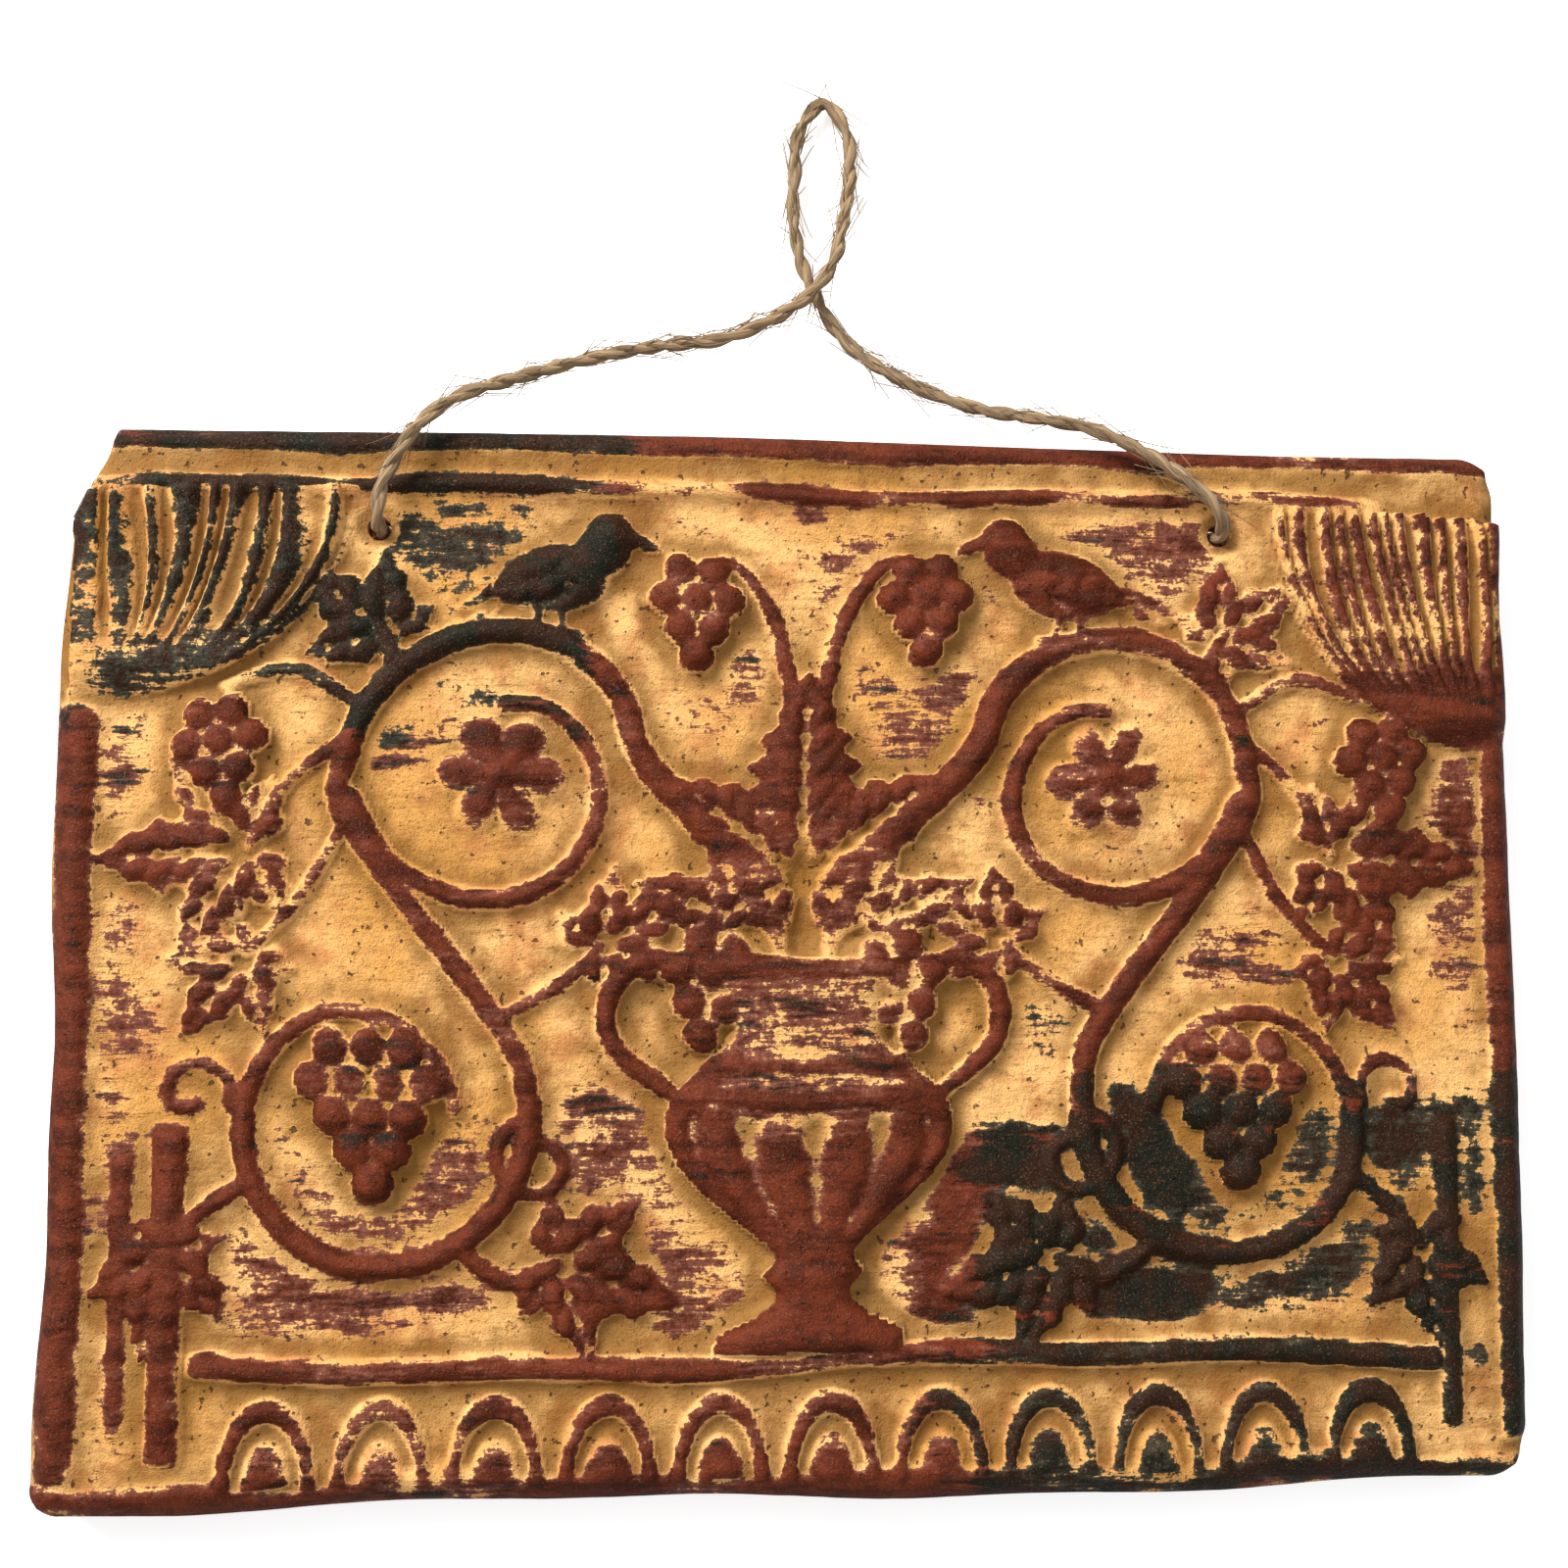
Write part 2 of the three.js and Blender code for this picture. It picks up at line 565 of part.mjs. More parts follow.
const TWINE_ROUTE = [
  [-66, -2.6, 65.5], [-66, -7, 65.5], [-66, -10.6, 65.7], [-65.9, -12.9, 67.6], [-65.2, -13.7, 71.5],
  [-63.4, -13.8, 75.2], [-61.2, -13.6, 79], [-58.2, -12.6, 82.8], [-53.5, -11, 86.4], [-45, -9.4, 89.8],
  [-34.2, -8.1, 93.5], [-24, -7.2, 96], [-13, -6.6, 97.8], [-4.5, -6.2, 101.8], [1.2, -5.8, 106.2],
  [4.8, -4.7, 111.6], [6.5, -3.2, 118.4], [7.8, -2, 126.5], [7.4, -1.7, 134.6], [3.6, -1.7, 139.55],
  [-0.4, -1.7, 134.6], [-1.2, -1.7, 127], [-1.4, -1.8, 120], [-0.4, -2.2, 113.2], [2.2, -2.7, 106.6],
  [5.4, -3.2, 100.9], [10.4, -4.5, 95.6], [19.6, -6.7, 90], [28.6, -8.7, 86.6], [37.6, -10.8, 84.8],
  [44.6, -12.4, 83], [51.2, -13.5, 80], [57.6, -13.8, 76.2], [62.6, -13.7, 72.4], [65.7, -12.7, 68.9],
  [66.3, -10.4, 67.1], [66.3, -7, 67], [66.3, -2.6, 67],
];

function hangingTwine() {
  const radius = TWINE_DIAMETER / 2;
  const section = new THREE.Shape(Array.from({ length: TWINE_SIDES }, (_, i) => {
    const angle = ((i + 0.5) * 2 * Math.PI) / TWINE_SIDES;
    return new THREE.Vector2(radius * Math.cos(angle), radius * Math.sin(angle));
  }));
  const path = new THREE.CatmullRomCurve3(TWINE_ROUTE.map((point) => new THREE.Vector3(...point)));
  const strand = new THREE.ExtrudeGeometry(section, { steps: TWINE_STEPS, extrudePath: path });
  let solid = toManifold(strand);
  for (const { x, z } of HOLES) {
    const knot = new THREE.SphereGeometry(1, 8, 6).scale(KNOT.radius, KNOT.halfDepth, KNOT.radius);
    solid = solid.add(toManifold(knot.translate(x, KNOT.depth, z)));
  }
  const mesh = new THREE.Mesh(toGeometry(solid), new THREE.MeshStandardMaterial(JUTE));
  mesh.name = 'hanging_twine';
  mesh.position.set(PLAQUE_CENTRE.x, 0, PLAQUE_CENTRE.z);
  return mesh;
}

const object = new THREE.Group();
object.add(plaque(), hangingTwine());

export default object;
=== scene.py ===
"""The looks of a hand-moulded, hand-painted clay wall plaque that hangs by jute twine.

Panel measures are millimetres from the panel's centre: x to the viewer's right, z up, and
depth out of the wall. They are the same named values as in the part's source.
"""

import math
import random
from collections import namedtuple

import bmesh
import bpy
import numpy as np
from mathutils import Matrix, Vector

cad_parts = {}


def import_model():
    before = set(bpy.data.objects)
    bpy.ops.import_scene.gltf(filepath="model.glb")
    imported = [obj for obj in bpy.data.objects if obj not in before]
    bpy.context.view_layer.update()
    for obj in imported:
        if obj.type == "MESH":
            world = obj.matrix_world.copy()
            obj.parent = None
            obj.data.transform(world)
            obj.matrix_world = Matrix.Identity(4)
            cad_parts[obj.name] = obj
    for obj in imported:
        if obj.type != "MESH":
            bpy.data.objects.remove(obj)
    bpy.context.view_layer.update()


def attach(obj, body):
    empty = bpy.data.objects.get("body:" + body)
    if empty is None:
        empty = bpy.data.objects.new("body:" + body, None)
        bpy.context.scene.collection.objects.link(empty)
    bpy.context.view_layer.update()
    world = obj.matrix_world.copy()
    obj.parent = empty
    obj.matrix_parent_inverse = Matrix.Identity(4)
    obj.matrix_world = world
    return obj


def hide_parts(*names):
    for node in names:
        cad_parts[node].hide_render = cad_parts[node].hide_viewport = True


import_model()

MM = 0.001
random.seed(7)

# ---------------------------------------------------------------- driving sizes (mm)

WIDTH, HEIGHT = 226.0, 161.5
CENTRE_X, CENTRE_Z = -4.0, -138.4
GROUND_DEPTH = 9.5
EDGE_WIDTH, EDGE_DROP, BACK_EDGE = 4.5, 2.6, 1.0
BLEND = 0.7
HOLE_DIAMETER = 3.6
HOLES = [(-66.0, 65.5), (66.3, 67.0)]
HOLLOW_RADIUS, HOLLOW_DEPTH = 9.0, 3.8
RIM_INNER, RIM_HEIGHT = 77.9, 1.7
RIDGE_LOW, RIDGE_HIGH, RIDGE_HEIGHT, RIDGE_FADES = 70.8, 73.9, 1.9, 90.0
LEDGE_Z, LEDGE_HALF, LEDGE_HEIGHT, LEDGE_LEFT, LEDGE_RIGHT = -60.5, 2.1, 2.6, -90.0, 97.0
TONGUES, TONGUE_HALF, TONGUE_TALL, TONGUE_FOOT, TONGUE_HEIGHT = 11, 7.2, 13.0, -77.5, 2.2

TWIST_PITCH, PLY_RADIUS, PLY_OFFSET = 10.5, 0.74, 0.41  # pitch: one full turn of a ply
KNOT_DEPTH, KNOT_THICKNESS = 1.95, 0.78
FIBRE_COUNT, FIBRE_FOOT, FIBRE_ROOT, FIBRE_TIP = 330, 0.95, 0.1, 0.055
FIBRE_LENGTHS, FIBRE_RISES = (2, 9), (0.2, 1.1)
WALL_GAP = 0.1  # between a fibre and the wall
WALL_BEHIND, WALL_HALF_SIZE = 0.4, 3000.0


def world(x, depth, z):
    """A panel place as a point of the row frame, in metres."""
    return Vector(((x + CENTRE_X) * MM, -depth * MM, (z + CENTRE_Z) * MM))


# ---------------------------------------------------------------- camera

CAMERA_PLACE = (-28.5, 299.8, -0.1)
CAMERA_FORWARD, CAMERA_UP = (0.0852, 0.9922, 0.0909), (-0.0079, -0.0905, 0.9959)
CAMERA_ANGLE = 45


def add_camera():
    """A camera square to the panel but for a few degrees, as a hand-held photograph is."""
    data = bpy.data.cameras.new("camera")
    data.sensor_width = 36
    data.angle = math.radians(CAMERA_ANGLE)
    data.clip_start = 0.01
    camera = bpy.data.objects.new("camera", data)
    bpy.context.scene.collection.objects.link(camera)
    forward = Vector(CAMERA_FORWARD).normalized()
    right = forward.cross(Vector(CAMERA_UP)).normalized()
    up = right.cross(forward)
    turn = Matrix((right, up, -forward)).transposed()
    camera.matrix_world = Matrix.Translation(world(*CAMERA_PLACE)) @ turn.to_4x4()
    bpy.context.scene.camera = camera


add_camera()

# ---------------------------------------------------------------- twine route
# (x, -depth, z) from the left knot, over the top edge, round the loop, to the right knot.

TWINE_ROUTE = [
    (-66, -2.6, 65.5), (-66, -7, 65.5), (-66, -10.6, 65.7), (-65.9, -12.9, 67.6),
    (-65.2, -13.7, 71.5), (-63.4, -13.8, 75.2), (-61.2, -13.6, 79), (-58.2, -12.6, 82.8),
    (-53.5, -11, 86.4), (-45, -9.4, 89.8), (-34.2, -8.1, 93.5), (-24, -7.2, 96),
    (-13, -6.6, 97.8), (-4.5, -6.2, 101.8), (1.2, -5.8, 106.2), (4.8, -4.7, 111.6),
    (6.5, -3.2, 118.4), (7.8, -2, 126.5), (7.4, -1.7, 134.6), (3.6, -1.7, 139.55),
    (-0.4, -1.7, 134.6), (-1.2, -1.7, 127), (-1.4, -1.8, 120), (-0.4, -2.2, 113.2),
    (2.2, -2.7, 106.6), (5.4, -3.2, 100.9), (10.4, -4.5, 95.6), (19.6, -6.7, 90),
    (28.6, -8.7, 86.6), (37.6, -10.8, 84.8), (44.6, -12.4, 83), (51.2, -13.5, 80),
    (57.6, -13.8, 76.2), (62.6, -13.7, 72.4), (65.7, -12.7, 68.9), (66.3, -10.4, 67.1),
    (66.3, -7, 67), (66.3, -2.6, 67),
]


def smooth_line(points, step):
    """A centripetal Catmull-Rom line through the points, resampled at an even step."""
    pts = np.array(points, float)
    pts = np.vstack([2 * pts[0] - pts[1], pts, 2 * pts[-1] - pts[-2]])
    fine = []
    for i in range(1, len(pts) - 2):
        p0, p1, p2, p3 = pts[i - 1 : i + 3]
        pairs = ((p0, p1), (p1, p2), (p2, p3))
        k1, k2, k3 = (max(np.linalg.norm(b - a) ** 0.5, 1e-9) for a, b in pairs)
        m1 = ((p1 - p0) / k1 - (p2 - p0) / (k1 + k2) + (p2 - p1) / k2) * k2
        m2 = ((p2 - p1) / k2 - (p3 - p1) / (k2 + k3) + (p3 - p2) / k3) * k2
        for t in np.linspace(0, 1, 24, endpoint=False):
            h = (2 * t**3 - 3 * t**2 + 1, t**3 - 2 * t**2 + t, -2 * t**3 + 3 * t**2, t**3 - t**2)
            fine.append(h[0] * p1 + h[1] * m1 + h[2] * p2 + h[3] * m2)
    fine = np.array(fine + [pts[-2]])
    along = np.concatenate([[0], np.cumsum(np.linalg.norm(np.diff(fine, axis=0), axis=1))])
    places = np.linspace(0, along[-1], int(along[-1] / step) + 1)
    return np.stack([np.interp(places, along, fine[:, k]) for k in range(3)], 1), along[-1]


def turning_frames(line):
    """Two directions square to the line at each point, carried along it without twist."""
    tangents = np.gradient(line, axis=0)
    tangents /= np.linalg.norm(tangents, axis=1, keepdims=True)
    normal = np.cross(tangents[0], (1.0, 0.0, 0.0))
    normals = []
    for tangent in tangents:
        normal = normal - tangent * np.dot(normal, tangent)
        normal /= np.linalg.norm(normal)
        normals.append(normal)
    normals = np.array(normals)
    return tangents, normals, np.cross(tangents, normals)


def add_mesh(name, vertices, faces, uvs=None):
    """A smooth-shaded mesh object, with its vertices in metres."""
    mesh = bpy.data.meshes.new(name)
    mesh.from_pydata([tuple(v) for v in vertices], [], faces)
    mesh.polygons.foreach_set("use_smooth", [True] * len(mesh.polygons))
    if uvs is not None:
        layer = mesh.uv_layers.new(name="along")
        corner_vertex = np.empty(len(mesh.loops), int)
        mesh.loops.foreach_get("vertex_index", corner_vertex)
        layer.data.foreach_set("uv", np.asarray(uvs)[corner_vertex].ravel())
    obj = bpy.data.objects.new(name, mesh)
    bpy.context.scene.collection.objects.link(obj)
    return obj


def tube_arrays(line, radius, sides, first=0):
    """Vertices, faces and (round, along) places of a closed tube along a line."""
    radius = np.broadcast_to(radius, len(line))
    _, normals, binormals = turning_frames(line)
    angles = np.arange(sides) * 2 * math.pi / sides
    c, s = np.cos(angles)[None, :, None], np.sin(angles)[None, :, None]
    ring = c * normals[:, None] + s * binormals[:, None]
    vertices = (line[:, None] + ring * radius[:, None, None]).reshape(-1, 3)
    faces = []
    for i in range(len(line) - 1):
        for j in range(sides):
            a, b = first + i * sides + j, first + i * sides + (j + 1) % sides
            faces.append((a, b, b + sides, a + sides))
    end = first + (len(line) - 1) * sides
    faces.append(tuple(first + j for j in reversed(range(sides))))
    faces.append(tuple(end + j for j in range(sides)))
    along = np.concatenate([[0], np.cumsum(np.linalg.norm(np.diff(line, axis=0), axis=1))])
    places = np.stack(np.broadcast_arrays(angles[None] / (2 * math.pi), along[:, None]), -1)
    return vertices, faces, places.reshape(-1, 2)


def merge_tubes(name, tubes):
    """One object from (line, radius, sides) tubes, in metres."""
    vertices, faces, places = [], [], []
    for line, radius, sides in tubes:
        v, f, p = tube_arrays(line, radius, sides, sum(len(part) for part in vertices))
        vertices.append(v)
        faces += f
        places.append(p)
    return add_mesh(name, np.vstack(vertices), faces, np.vstack(places))


route = [tuple(world(x, -y, z)) for x, y, z in TWINE_ROUTE]
twine_line, twine_length = smooth_line(route, 0.34 * MM)


def twisted_plies(line):
    """Two plies laid round each other along a line, a little uneven in thickness."""
    _, normals, binormals = turning_frames(line)
    along = np.arange(len(line)) * np.linalg.norm(line[1] - line[0])
    wander = 0.5 * np.sin(along / (9 * MM)) + 0.35 * np.sin(along / (3.7 * MM) + 1)
    tubes = []
    for ply in (0, 1):
        turn = 2 * math.pi * along / (TWIST_PITCH * MM) + math.pi * ply + wander
        offset = np.cos(turn)[:, None] * normals + np.sin(turn)[:, None] * binormals
        slow = 0.07 * np.sin(along / (2.3 * MM) + 2 * ply)
        fast = 0.05 * np.sin(along / (0.9 * MM) + 5 * ply)
        radius = PLY_RADIUS * MM * (1 + slow + fast)
        tubes.append((line + offset * (PLY_OFFSET * MM), radius, 10))
    return tubes


def knot_tubes(x, z, spin):
    """A small overhand knot pulled tight, with a short frayed tail."""
    t = np.linspace(0, 2 * math.pi, 60)
    trefoil = (np.sin(t) + 2 * np.sin(2 * t), -np.sin(3 * t), np.cos(t) - 2 * np.cos(2 * t))
    turn = Matrix.Rotation(spin, 3, "Y")
    loop = np.stack(trefoil, 1) @ np.array(turn).T * np.array([0.68, 0.62, 0.68]) * MM
    middle = np.array(world(x, KNOT_DEPTH, z))
    tail_start = loop[20] + middle
    lean = np.array([math.cos(spin), 0.15, math.sin(spin)])
    tail = np.array([tail_start + lean * MM * 0.35 * k for k in range(8)])
    return [(loop + middle, KNOT_THICKNESS * MM, 8), (tail, np.linspace(0.6, 0.35, 8) * MM, 6)]


def stray_fibres(line):
    """Loose fibres that stand out of the twine, curl along it and stay off the wall."""
    tangents, normals, binormals = turning_frames(line)
    thickness = np.linspace(FIBRE_ROOT, FIBRE_TIP, 7) * MM
    tubes = []
    for _ in range(FIBRE_COUNT):
        i = random.randrange(12, len(line) - 12)
        turn = random.uniform(0, 2 * math.pi)
        out = math.cos(turn) * normals[i] + math.sin(turn) * binormals[i]
        bend = np.cross(tangents[i], out) * random.uniform(-1, 1)
        way = random.choice((-1, 1))
        length = random.uniform(*FIBRE_LENGTHS) * MM
        rise = random.uniform(*FIBRE_RISES)
        points = []
        for t in np.linspace(0, 1, 7):
            lift = (FIBRE_FOOT + rise * (1.9 * t + 0.5 * t * t)) * MM
            forward = way * tangents[i] * length * t
            points.append(line[i] + out * lift + forward + bend * length * 0.3 * t * t)
        points = np.array(points)
        points[:, 1] = np.minimum(points[:, 1], -WALL_GAP * MM)
        tubes.append((points, thickness, 3))
    return tubes


twine = merge_tubes("twine", twisted_plies(twine_line))
knots = merge_tubes("twine_knots", knot_tubes(*HOLES[0], 0.4) + knot_tubes(*HOLES[1], 2.1))
fibres = merge_tubes("twine_fibres", stray_fibres(twine_line[30:-30]))
for piece in (twine, knots, fibres):
    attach(piece, "root")
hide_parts("hanging_twine")

# ---------------------------------------------------------------- relief: small maths


def smoothstep(low, high, v):
    """Eases from 0 at low to 1 at high, which may also be the smaller of the two."""
    t = np.clip((v - low) / (high - low), 0, 1)
    return t * t * (3 - 2 * t)


def rounded(d):
    """A rounded cross-section: 1 in the middle, 0 at a distance of 1."""
    return np.maximum(0, 1 - d * d) ** 0.6


def cloud(x, z, size, seed):
    """Soft random lumps of about that size in mm, from 0 to 1."""
    lattice = np.random.RandomState(seed).rand(97, 97)
    u, v = x / size + 48, z / size + 48
    i, j = np.floor(u).astype(int), np.floor(v).astype(int)
    a, b = u - i, v - j
    a, b = a * a * (3 - 2 * a), b * b * (3 - 2 * b)
    i, j = i % 96, j % 96
    low = lattice[i, j] * (1 - a) + lattice[i + 1, j] * a
    high = lattice[i, j + 1] * (1 - a) + lattice[i + 1, j + 1] * a
    return low * (1 - b) + high * b


def turned(x, z, cx, cz, turn):
    """Places along and across a form's own axis."""
    c, s = math.cos(turn), math.sin(turn)
    dx, dz = x - cx, z - cz
    return dx * c + dz * s, dz * c - dx * s


def profile(stations, v):
    """Value of a smooth line through stations (position, value)."""
    at = np.array([s[0] for s in stations], float)
    value = np.array([s[1] for s in stations], float)
    slope = slopes(at, value)
    i = np.clip(np.searchsorted(at, v) - 1, 0, len(at) - 2)
    span = at[i + 1] - at[i]
    t = np.clip((v - at[i]) / span, 0, 1)
    a, b = value[i], value[i + 1]
    bend = (1 - t) * (slope[i] * span + a - b) + t * (b - a - slope[i + 1] * span)
    return a + (b - a) * t + t * (1 - t) * bend


def slopes(at, value):
    """Slope of a line at each of its stations, from the two beside it."""
    ahead = np.minimum(np.arange(len(at)) + 1, len(at) - 1)
    behind = np.maximum(np.arange(len(at)) - 1, 0)
    return (value[ahead] - value[behind]) / (at[ahead] - at[behind])


# One form of the relief: its middle, how far it reaches, and its height by place.
Form = namedtuple("Form", "x z reach rise")


def mound(x, z, half_length, half_width, turn, height):
    def rise(px, pz):
        a, b = turned(px, pz, x, z, turn)
        return height * rounded(np.hypot(a / half_length, b / half_width))

    return Form(x, z, max(half_length, half_width), rise)


def blade(a, b, length, half, height, toothed=False):
    """A pointed blade from (0, 0) along +a, with a middle vein and fine side veins."""
    t = np.clip(a / length, 0, 1)
    teeth = 1 + (0.13 * np.cos(2 * math.pi * a / 4.4) if toothed else 0)
    edge = half * np.sin(math.pi * t**0.72) * teeth
    across = np.clip(np.abs(b) / np.maximum(edge, 1e-6), 0, 1)
    crown = height * (1 - across * across) ** 0.45 * np.minimum(1, 5 * t)
    vein = 1.9 * np.exp(-((b / 0.95) ** 2)) * smoothstep(1, 0.8, t)
    wave = np.cos(2 * math.pi * (a - 1.1 * np.abs(b)) / 4.2)
    side_veins = 1.3 * np.maximum(0, wave) ** 3 * smoothstep(1, 0.6, across)
    inside = (t > 0) & (t < 1) & (across < 1)
    return np.where(inside, np.maximum(0, crown - vein - side_veins), 0)


# Each lobe of a leaf: its angle, then its length and half width as shares of the leaf.
LOBES = [
    (0, 1.0, 0.27), (52, 0.8, 0.23), (-52, 0.8, 0.23), (112, 0.52, 0.18), (-112, 0.52, 0.18),
]


def vine_leaf(x, z, size, turn, height=2.9):
    """A five-lobed leaf with its stalk end at (x, z)."""

    def rise(px, pz):
        a, b = turned(px, pz, x, z, math.radians(turn))
        top = np.zeros_like(px)
        for angle, length, half in LOBES:
            c, s = math.cos(math.radians(angle)), math.sin(math.radians(angle))
            lobe = blade(a * c + b * s, b * c - a * s, size * length, size * half, height, True)
            top = np.maximum(top, lobe)
        return top

    return Form(x, z, size, rise)


def grape_bunch(x, z, turn, rows, pitch=5.3):
    """A bunch that hangs from (x, z), with so many grapes in each row."""
    grapes = [
        ((row + 0.5) * pitch * 0.86, (i - (count - 1) / 2) * pitch)
        for row, count in enumerate(rows)
        for i in range(count)
    ]

    def rise(px, pz):
        a, b = turned(px, pz, x, z, math.radians(turn))
        top = np.zeros_like(px)
        for ga, gb in grapes:
            d = np.hypot(a - ga, b - gb) / (0.56 * pitch)
            grape = 1.1 + 2.6 * np.sqrt(np.maximum(0, 1 - d * d))
            top = np.maximum(top, np.where(d < 1, grape, 0))
        return top

    return Form(x, z, pitch * (len(rows) + 1), rise)


def rosette(x, z, radius, petals):
    def rise(px, pz):
        d = np.hypot(px - x, pz - z) / radius
        petal = np.abs(np.cos(petals / 2 * np.arctan2(pz - z, px - x)))
        crown = 2.4 * rounded(d / (0.62 + 0.38 * np.sqrt(petal))) * (0.6 + 0.4 * petal)
        return np.maximum(crown, 3 * rounded(d / 0.3))

    return Form(x, z, radius, rise)


def spline(points, steps):
    """A uniform Catmull-Rom line through flat points."""
    pts = np.array(points, float)
    out = []
    for t in np.linspace(0, len(pts) - 1, steps + 1):
        i = min(int(t), len(pts) - 2)
        w = t - i
        p0, p1, p2 = pts[max(i - 1, 0)], pts[i], pts[i + 1]
        p3 = pts[min(i + 2, len(pts) - 1)]
        m1, m2 = (p2 - p0) / 2, (p3 - p1) / 2
        cubic, square = 2 * p1 - 2 * p2 + m1 + m2, 3 * p2 - 3 * p1 - 2 * m1 - m2
        out.append(cubic * w**3 + square * w**2 + m1 * w + p1)
    return np.array(out)


def stem(points, from_half, to_half, height):
    """A round stem along the points that tapers from one half width to another."""
    line = spline(points, len(points) * 6)
    low, high = line.min(0), line.max(0)
    centre = (low + high) / 2

    def rise(px, pz):
        top = np.zeros_like(px)
        for i in range(1, len(line)):
            (ax, az), (ex, ez) = line[i - 1], line[i] - line[i - 1]
            near = np.hypot(px - ax, pz - az) < math.hypot(ex, ez) + from_half
            qx, qz = px[near] - ax, pz[near] - az
            t = np.clip((qx * ex + qz * ez) / (ex * ex + ez * ez), 0, 1)
            half = from_half + (to_half - from_half) * (i - 1 + t) / (len(line) - 1)
            d = np.hypot(qx - t * ex, qz - t * ez) / half
            ridge = height * (0.55 + 0.45 * half / from_half) * rounded(d)
            top[near] = np.maximum(top[near], ridge)
        return top

    reach = float(np.hypot(*(high - low))) / 2 + from_half
    return Form(centre[0], centre[1], reach, rise)


def spiral(x, z, from_angle, to_angle, from_radius, to_radius):
    """Points of a spiral about a centre, by angle in degrees and radius."""
    steps = math.ceil(abs(to_angle - from_angle) / 30)
    points = []
    for i in range(steps + 1):
        angle = math.radians(from_angle + (to_angle - from_angle) * i / steps)
        radius = from_radius + (to_radius - from_radius) * i / steps
        points.append((x + radius * math.cos(angle), z + radius * math.sin(angle)))
    return points


# ---------------------------------------------------------------- relief: urn, birds, drapes

URN_FOOT, URN_HEIGHT = -59.0, 60.0
# Half width of the urn at each height over its foot.
URN_HALF_WIDTHS = [
    (0, 14), (3, 13.5), (6, 8), (9, 5.5), (12, 7.5), (15, 6), (20, 11.5), (26, 18.5),
    (32, 22), (38, 21), (43, 16.5), (48, 12), (53, 12), (57, 16), (60, 17),
]


def urn():
    def rise(px, pz):
        level = pz - URN_FOOT
        across = np.clip(px / profile(URN_HALF_WIDTHS, level), -1, 1)
        belly = 2 + 2.4 * np.sqrt(1 - across * across)
        fluted = smoothstep(17, 20, level) * smoothstep(37, 34, level)
        flutes = 1.3 * fluted * np.cos(6.5 * np.arcsin(across)) ** 4
        hoops = sum(
            0.7 * rounded((level - z) / half)
            for z, half in ((38.5, 1.1), (43.5, 1.1), (12, 1.6), (58, 1.5))
        )
        ends = smoothstep(0, 0.8, level) * smoothstep(URN_HEIGHT, URN_HEIGHT - 0.8, level)
        inside = (np.abs(across) < 1) & (level > 0) & (level < URN_HEIGHT)
        return np.where(inside, (belly - flutes + hoops) * ends, 0)

    return Form(0, URN_FOOT + URN_HEIGHT / 2, URN_HEIGHT * 0.7, rise)


def urn_handle(side):
    points = [(15, -2.5), (24, 0), (30, -6), (29, -14), (21.5, -20)]
    return stem([(side * x, z) for x, z in points], 2, 1.6, 2.9)


def bird(x, z, side):
    """A perching bird that looks towards the middle; side is -1 or 1, as for the vine."""

    def at(dx, dz):
        return x + side * dx, z + dz

    def lean(angle):
        return math.radians(angle if side > 0 else 180 - angle)

    mounds = [
        mound(x, z, 9.5, 5.8, lean(-12), 3.1),
        mound(*at(-8, 5), 5.2, 4.4, lean(-40), 2.9),
        mound(*at(-9.2, 7.2), 4.1, 3.8, 0, 3.3),
    ]

    def body(px, pz):
        """Breast and head, with a groove round the folded wing."""
        top = np.max([form.rise(px, pz) for form in mounds], 0)
        a, b = turned(px, pz, *at(-3, 1.4), lean(-14))
        wing = blade(a, b, 15, 3.3, 2.2)
        groove = blade(a + 1.3, b, 17.6, 4.7, 1) > 0
        return np.where(wing > 0, wing + 1.6, np.where(groove, np.minimum(top, 1.3), top))

    def tail(px, pz):
        a, b = turned(px, pz, *at(6, -1), lean(-24))
        return np.maximum(blade(a, b - 1, 16, 2.1, 2), blade(a, b + 1.6, 15, 2, 1.8))

    return [
        Form(x, z, 18, body),
        stem([at(-11, 7.6), at(-16.5, 5.4)], 1.7, 0.7, 2.3),
        mound(*at(-9.8, 8), 0.9, 0.9, 0, 4),
        stem([at(-1, -4), at(-1.6, -7.6), at(-4.4, -8.2)], 1, 0.9, 1.7),
        stem([at(2.6, -4), at(2.2, -7.6), at(-0.4, -8.2)], 1, 0.9, 1.7),
        Form(*at(6, -1), 17, tail),
    ]


# Each drape: side, outer edge, width, fall and number of folds.
DRAPES = [(-1, -108.5, 39, 33, 9), (1, 110.5, 38, 38, 13)]


def drape(x, z, side, edge, wide, fall, folds):
    """Rise of gathered cloth in an upper corner, and its folds from 0 to 1."""
    out = side * (edge - x)
    down = np.clip((RIDGE_LOW - z) / fall, 0, 0.9999)
    spread = np.clip(np.maximum(out, 0) / (wide * np.sqrt(1 - down * down)), 0, 1)
    uneven = folds * spread + 0.22 * np.sin(11 * spread + 4 * down) + 0.15 * np.sin(27 * spread)
    fold = 0.5 + 0.5 * np.cos(2 * math.pi * uneven)
    gathered = smoothstep(0.5, 0.86, down)
    fold = fold + (0.85 - fold) * gathered
    hem = np.minimum(1, (1 - spread) * 14) * np.minimum(1, 7 * (1 - down))
    cloth = (0.7 + 2.1 * fold) * hem
    inside = (out > -4) & (z <= RIDGE_LOW) & (z > RIDGE_LOW - fall) & (spread < 1)
    fold = fold * (1 - smoothstep(3, -3, out) * smoothstep(0.6, 1, down))
    return np.where(inside, cloth, 0), np.where(inside, fold * (0.3 + 0.7 * hem), 0)


# ---------------------------------------------------------------- relief: frame and vine

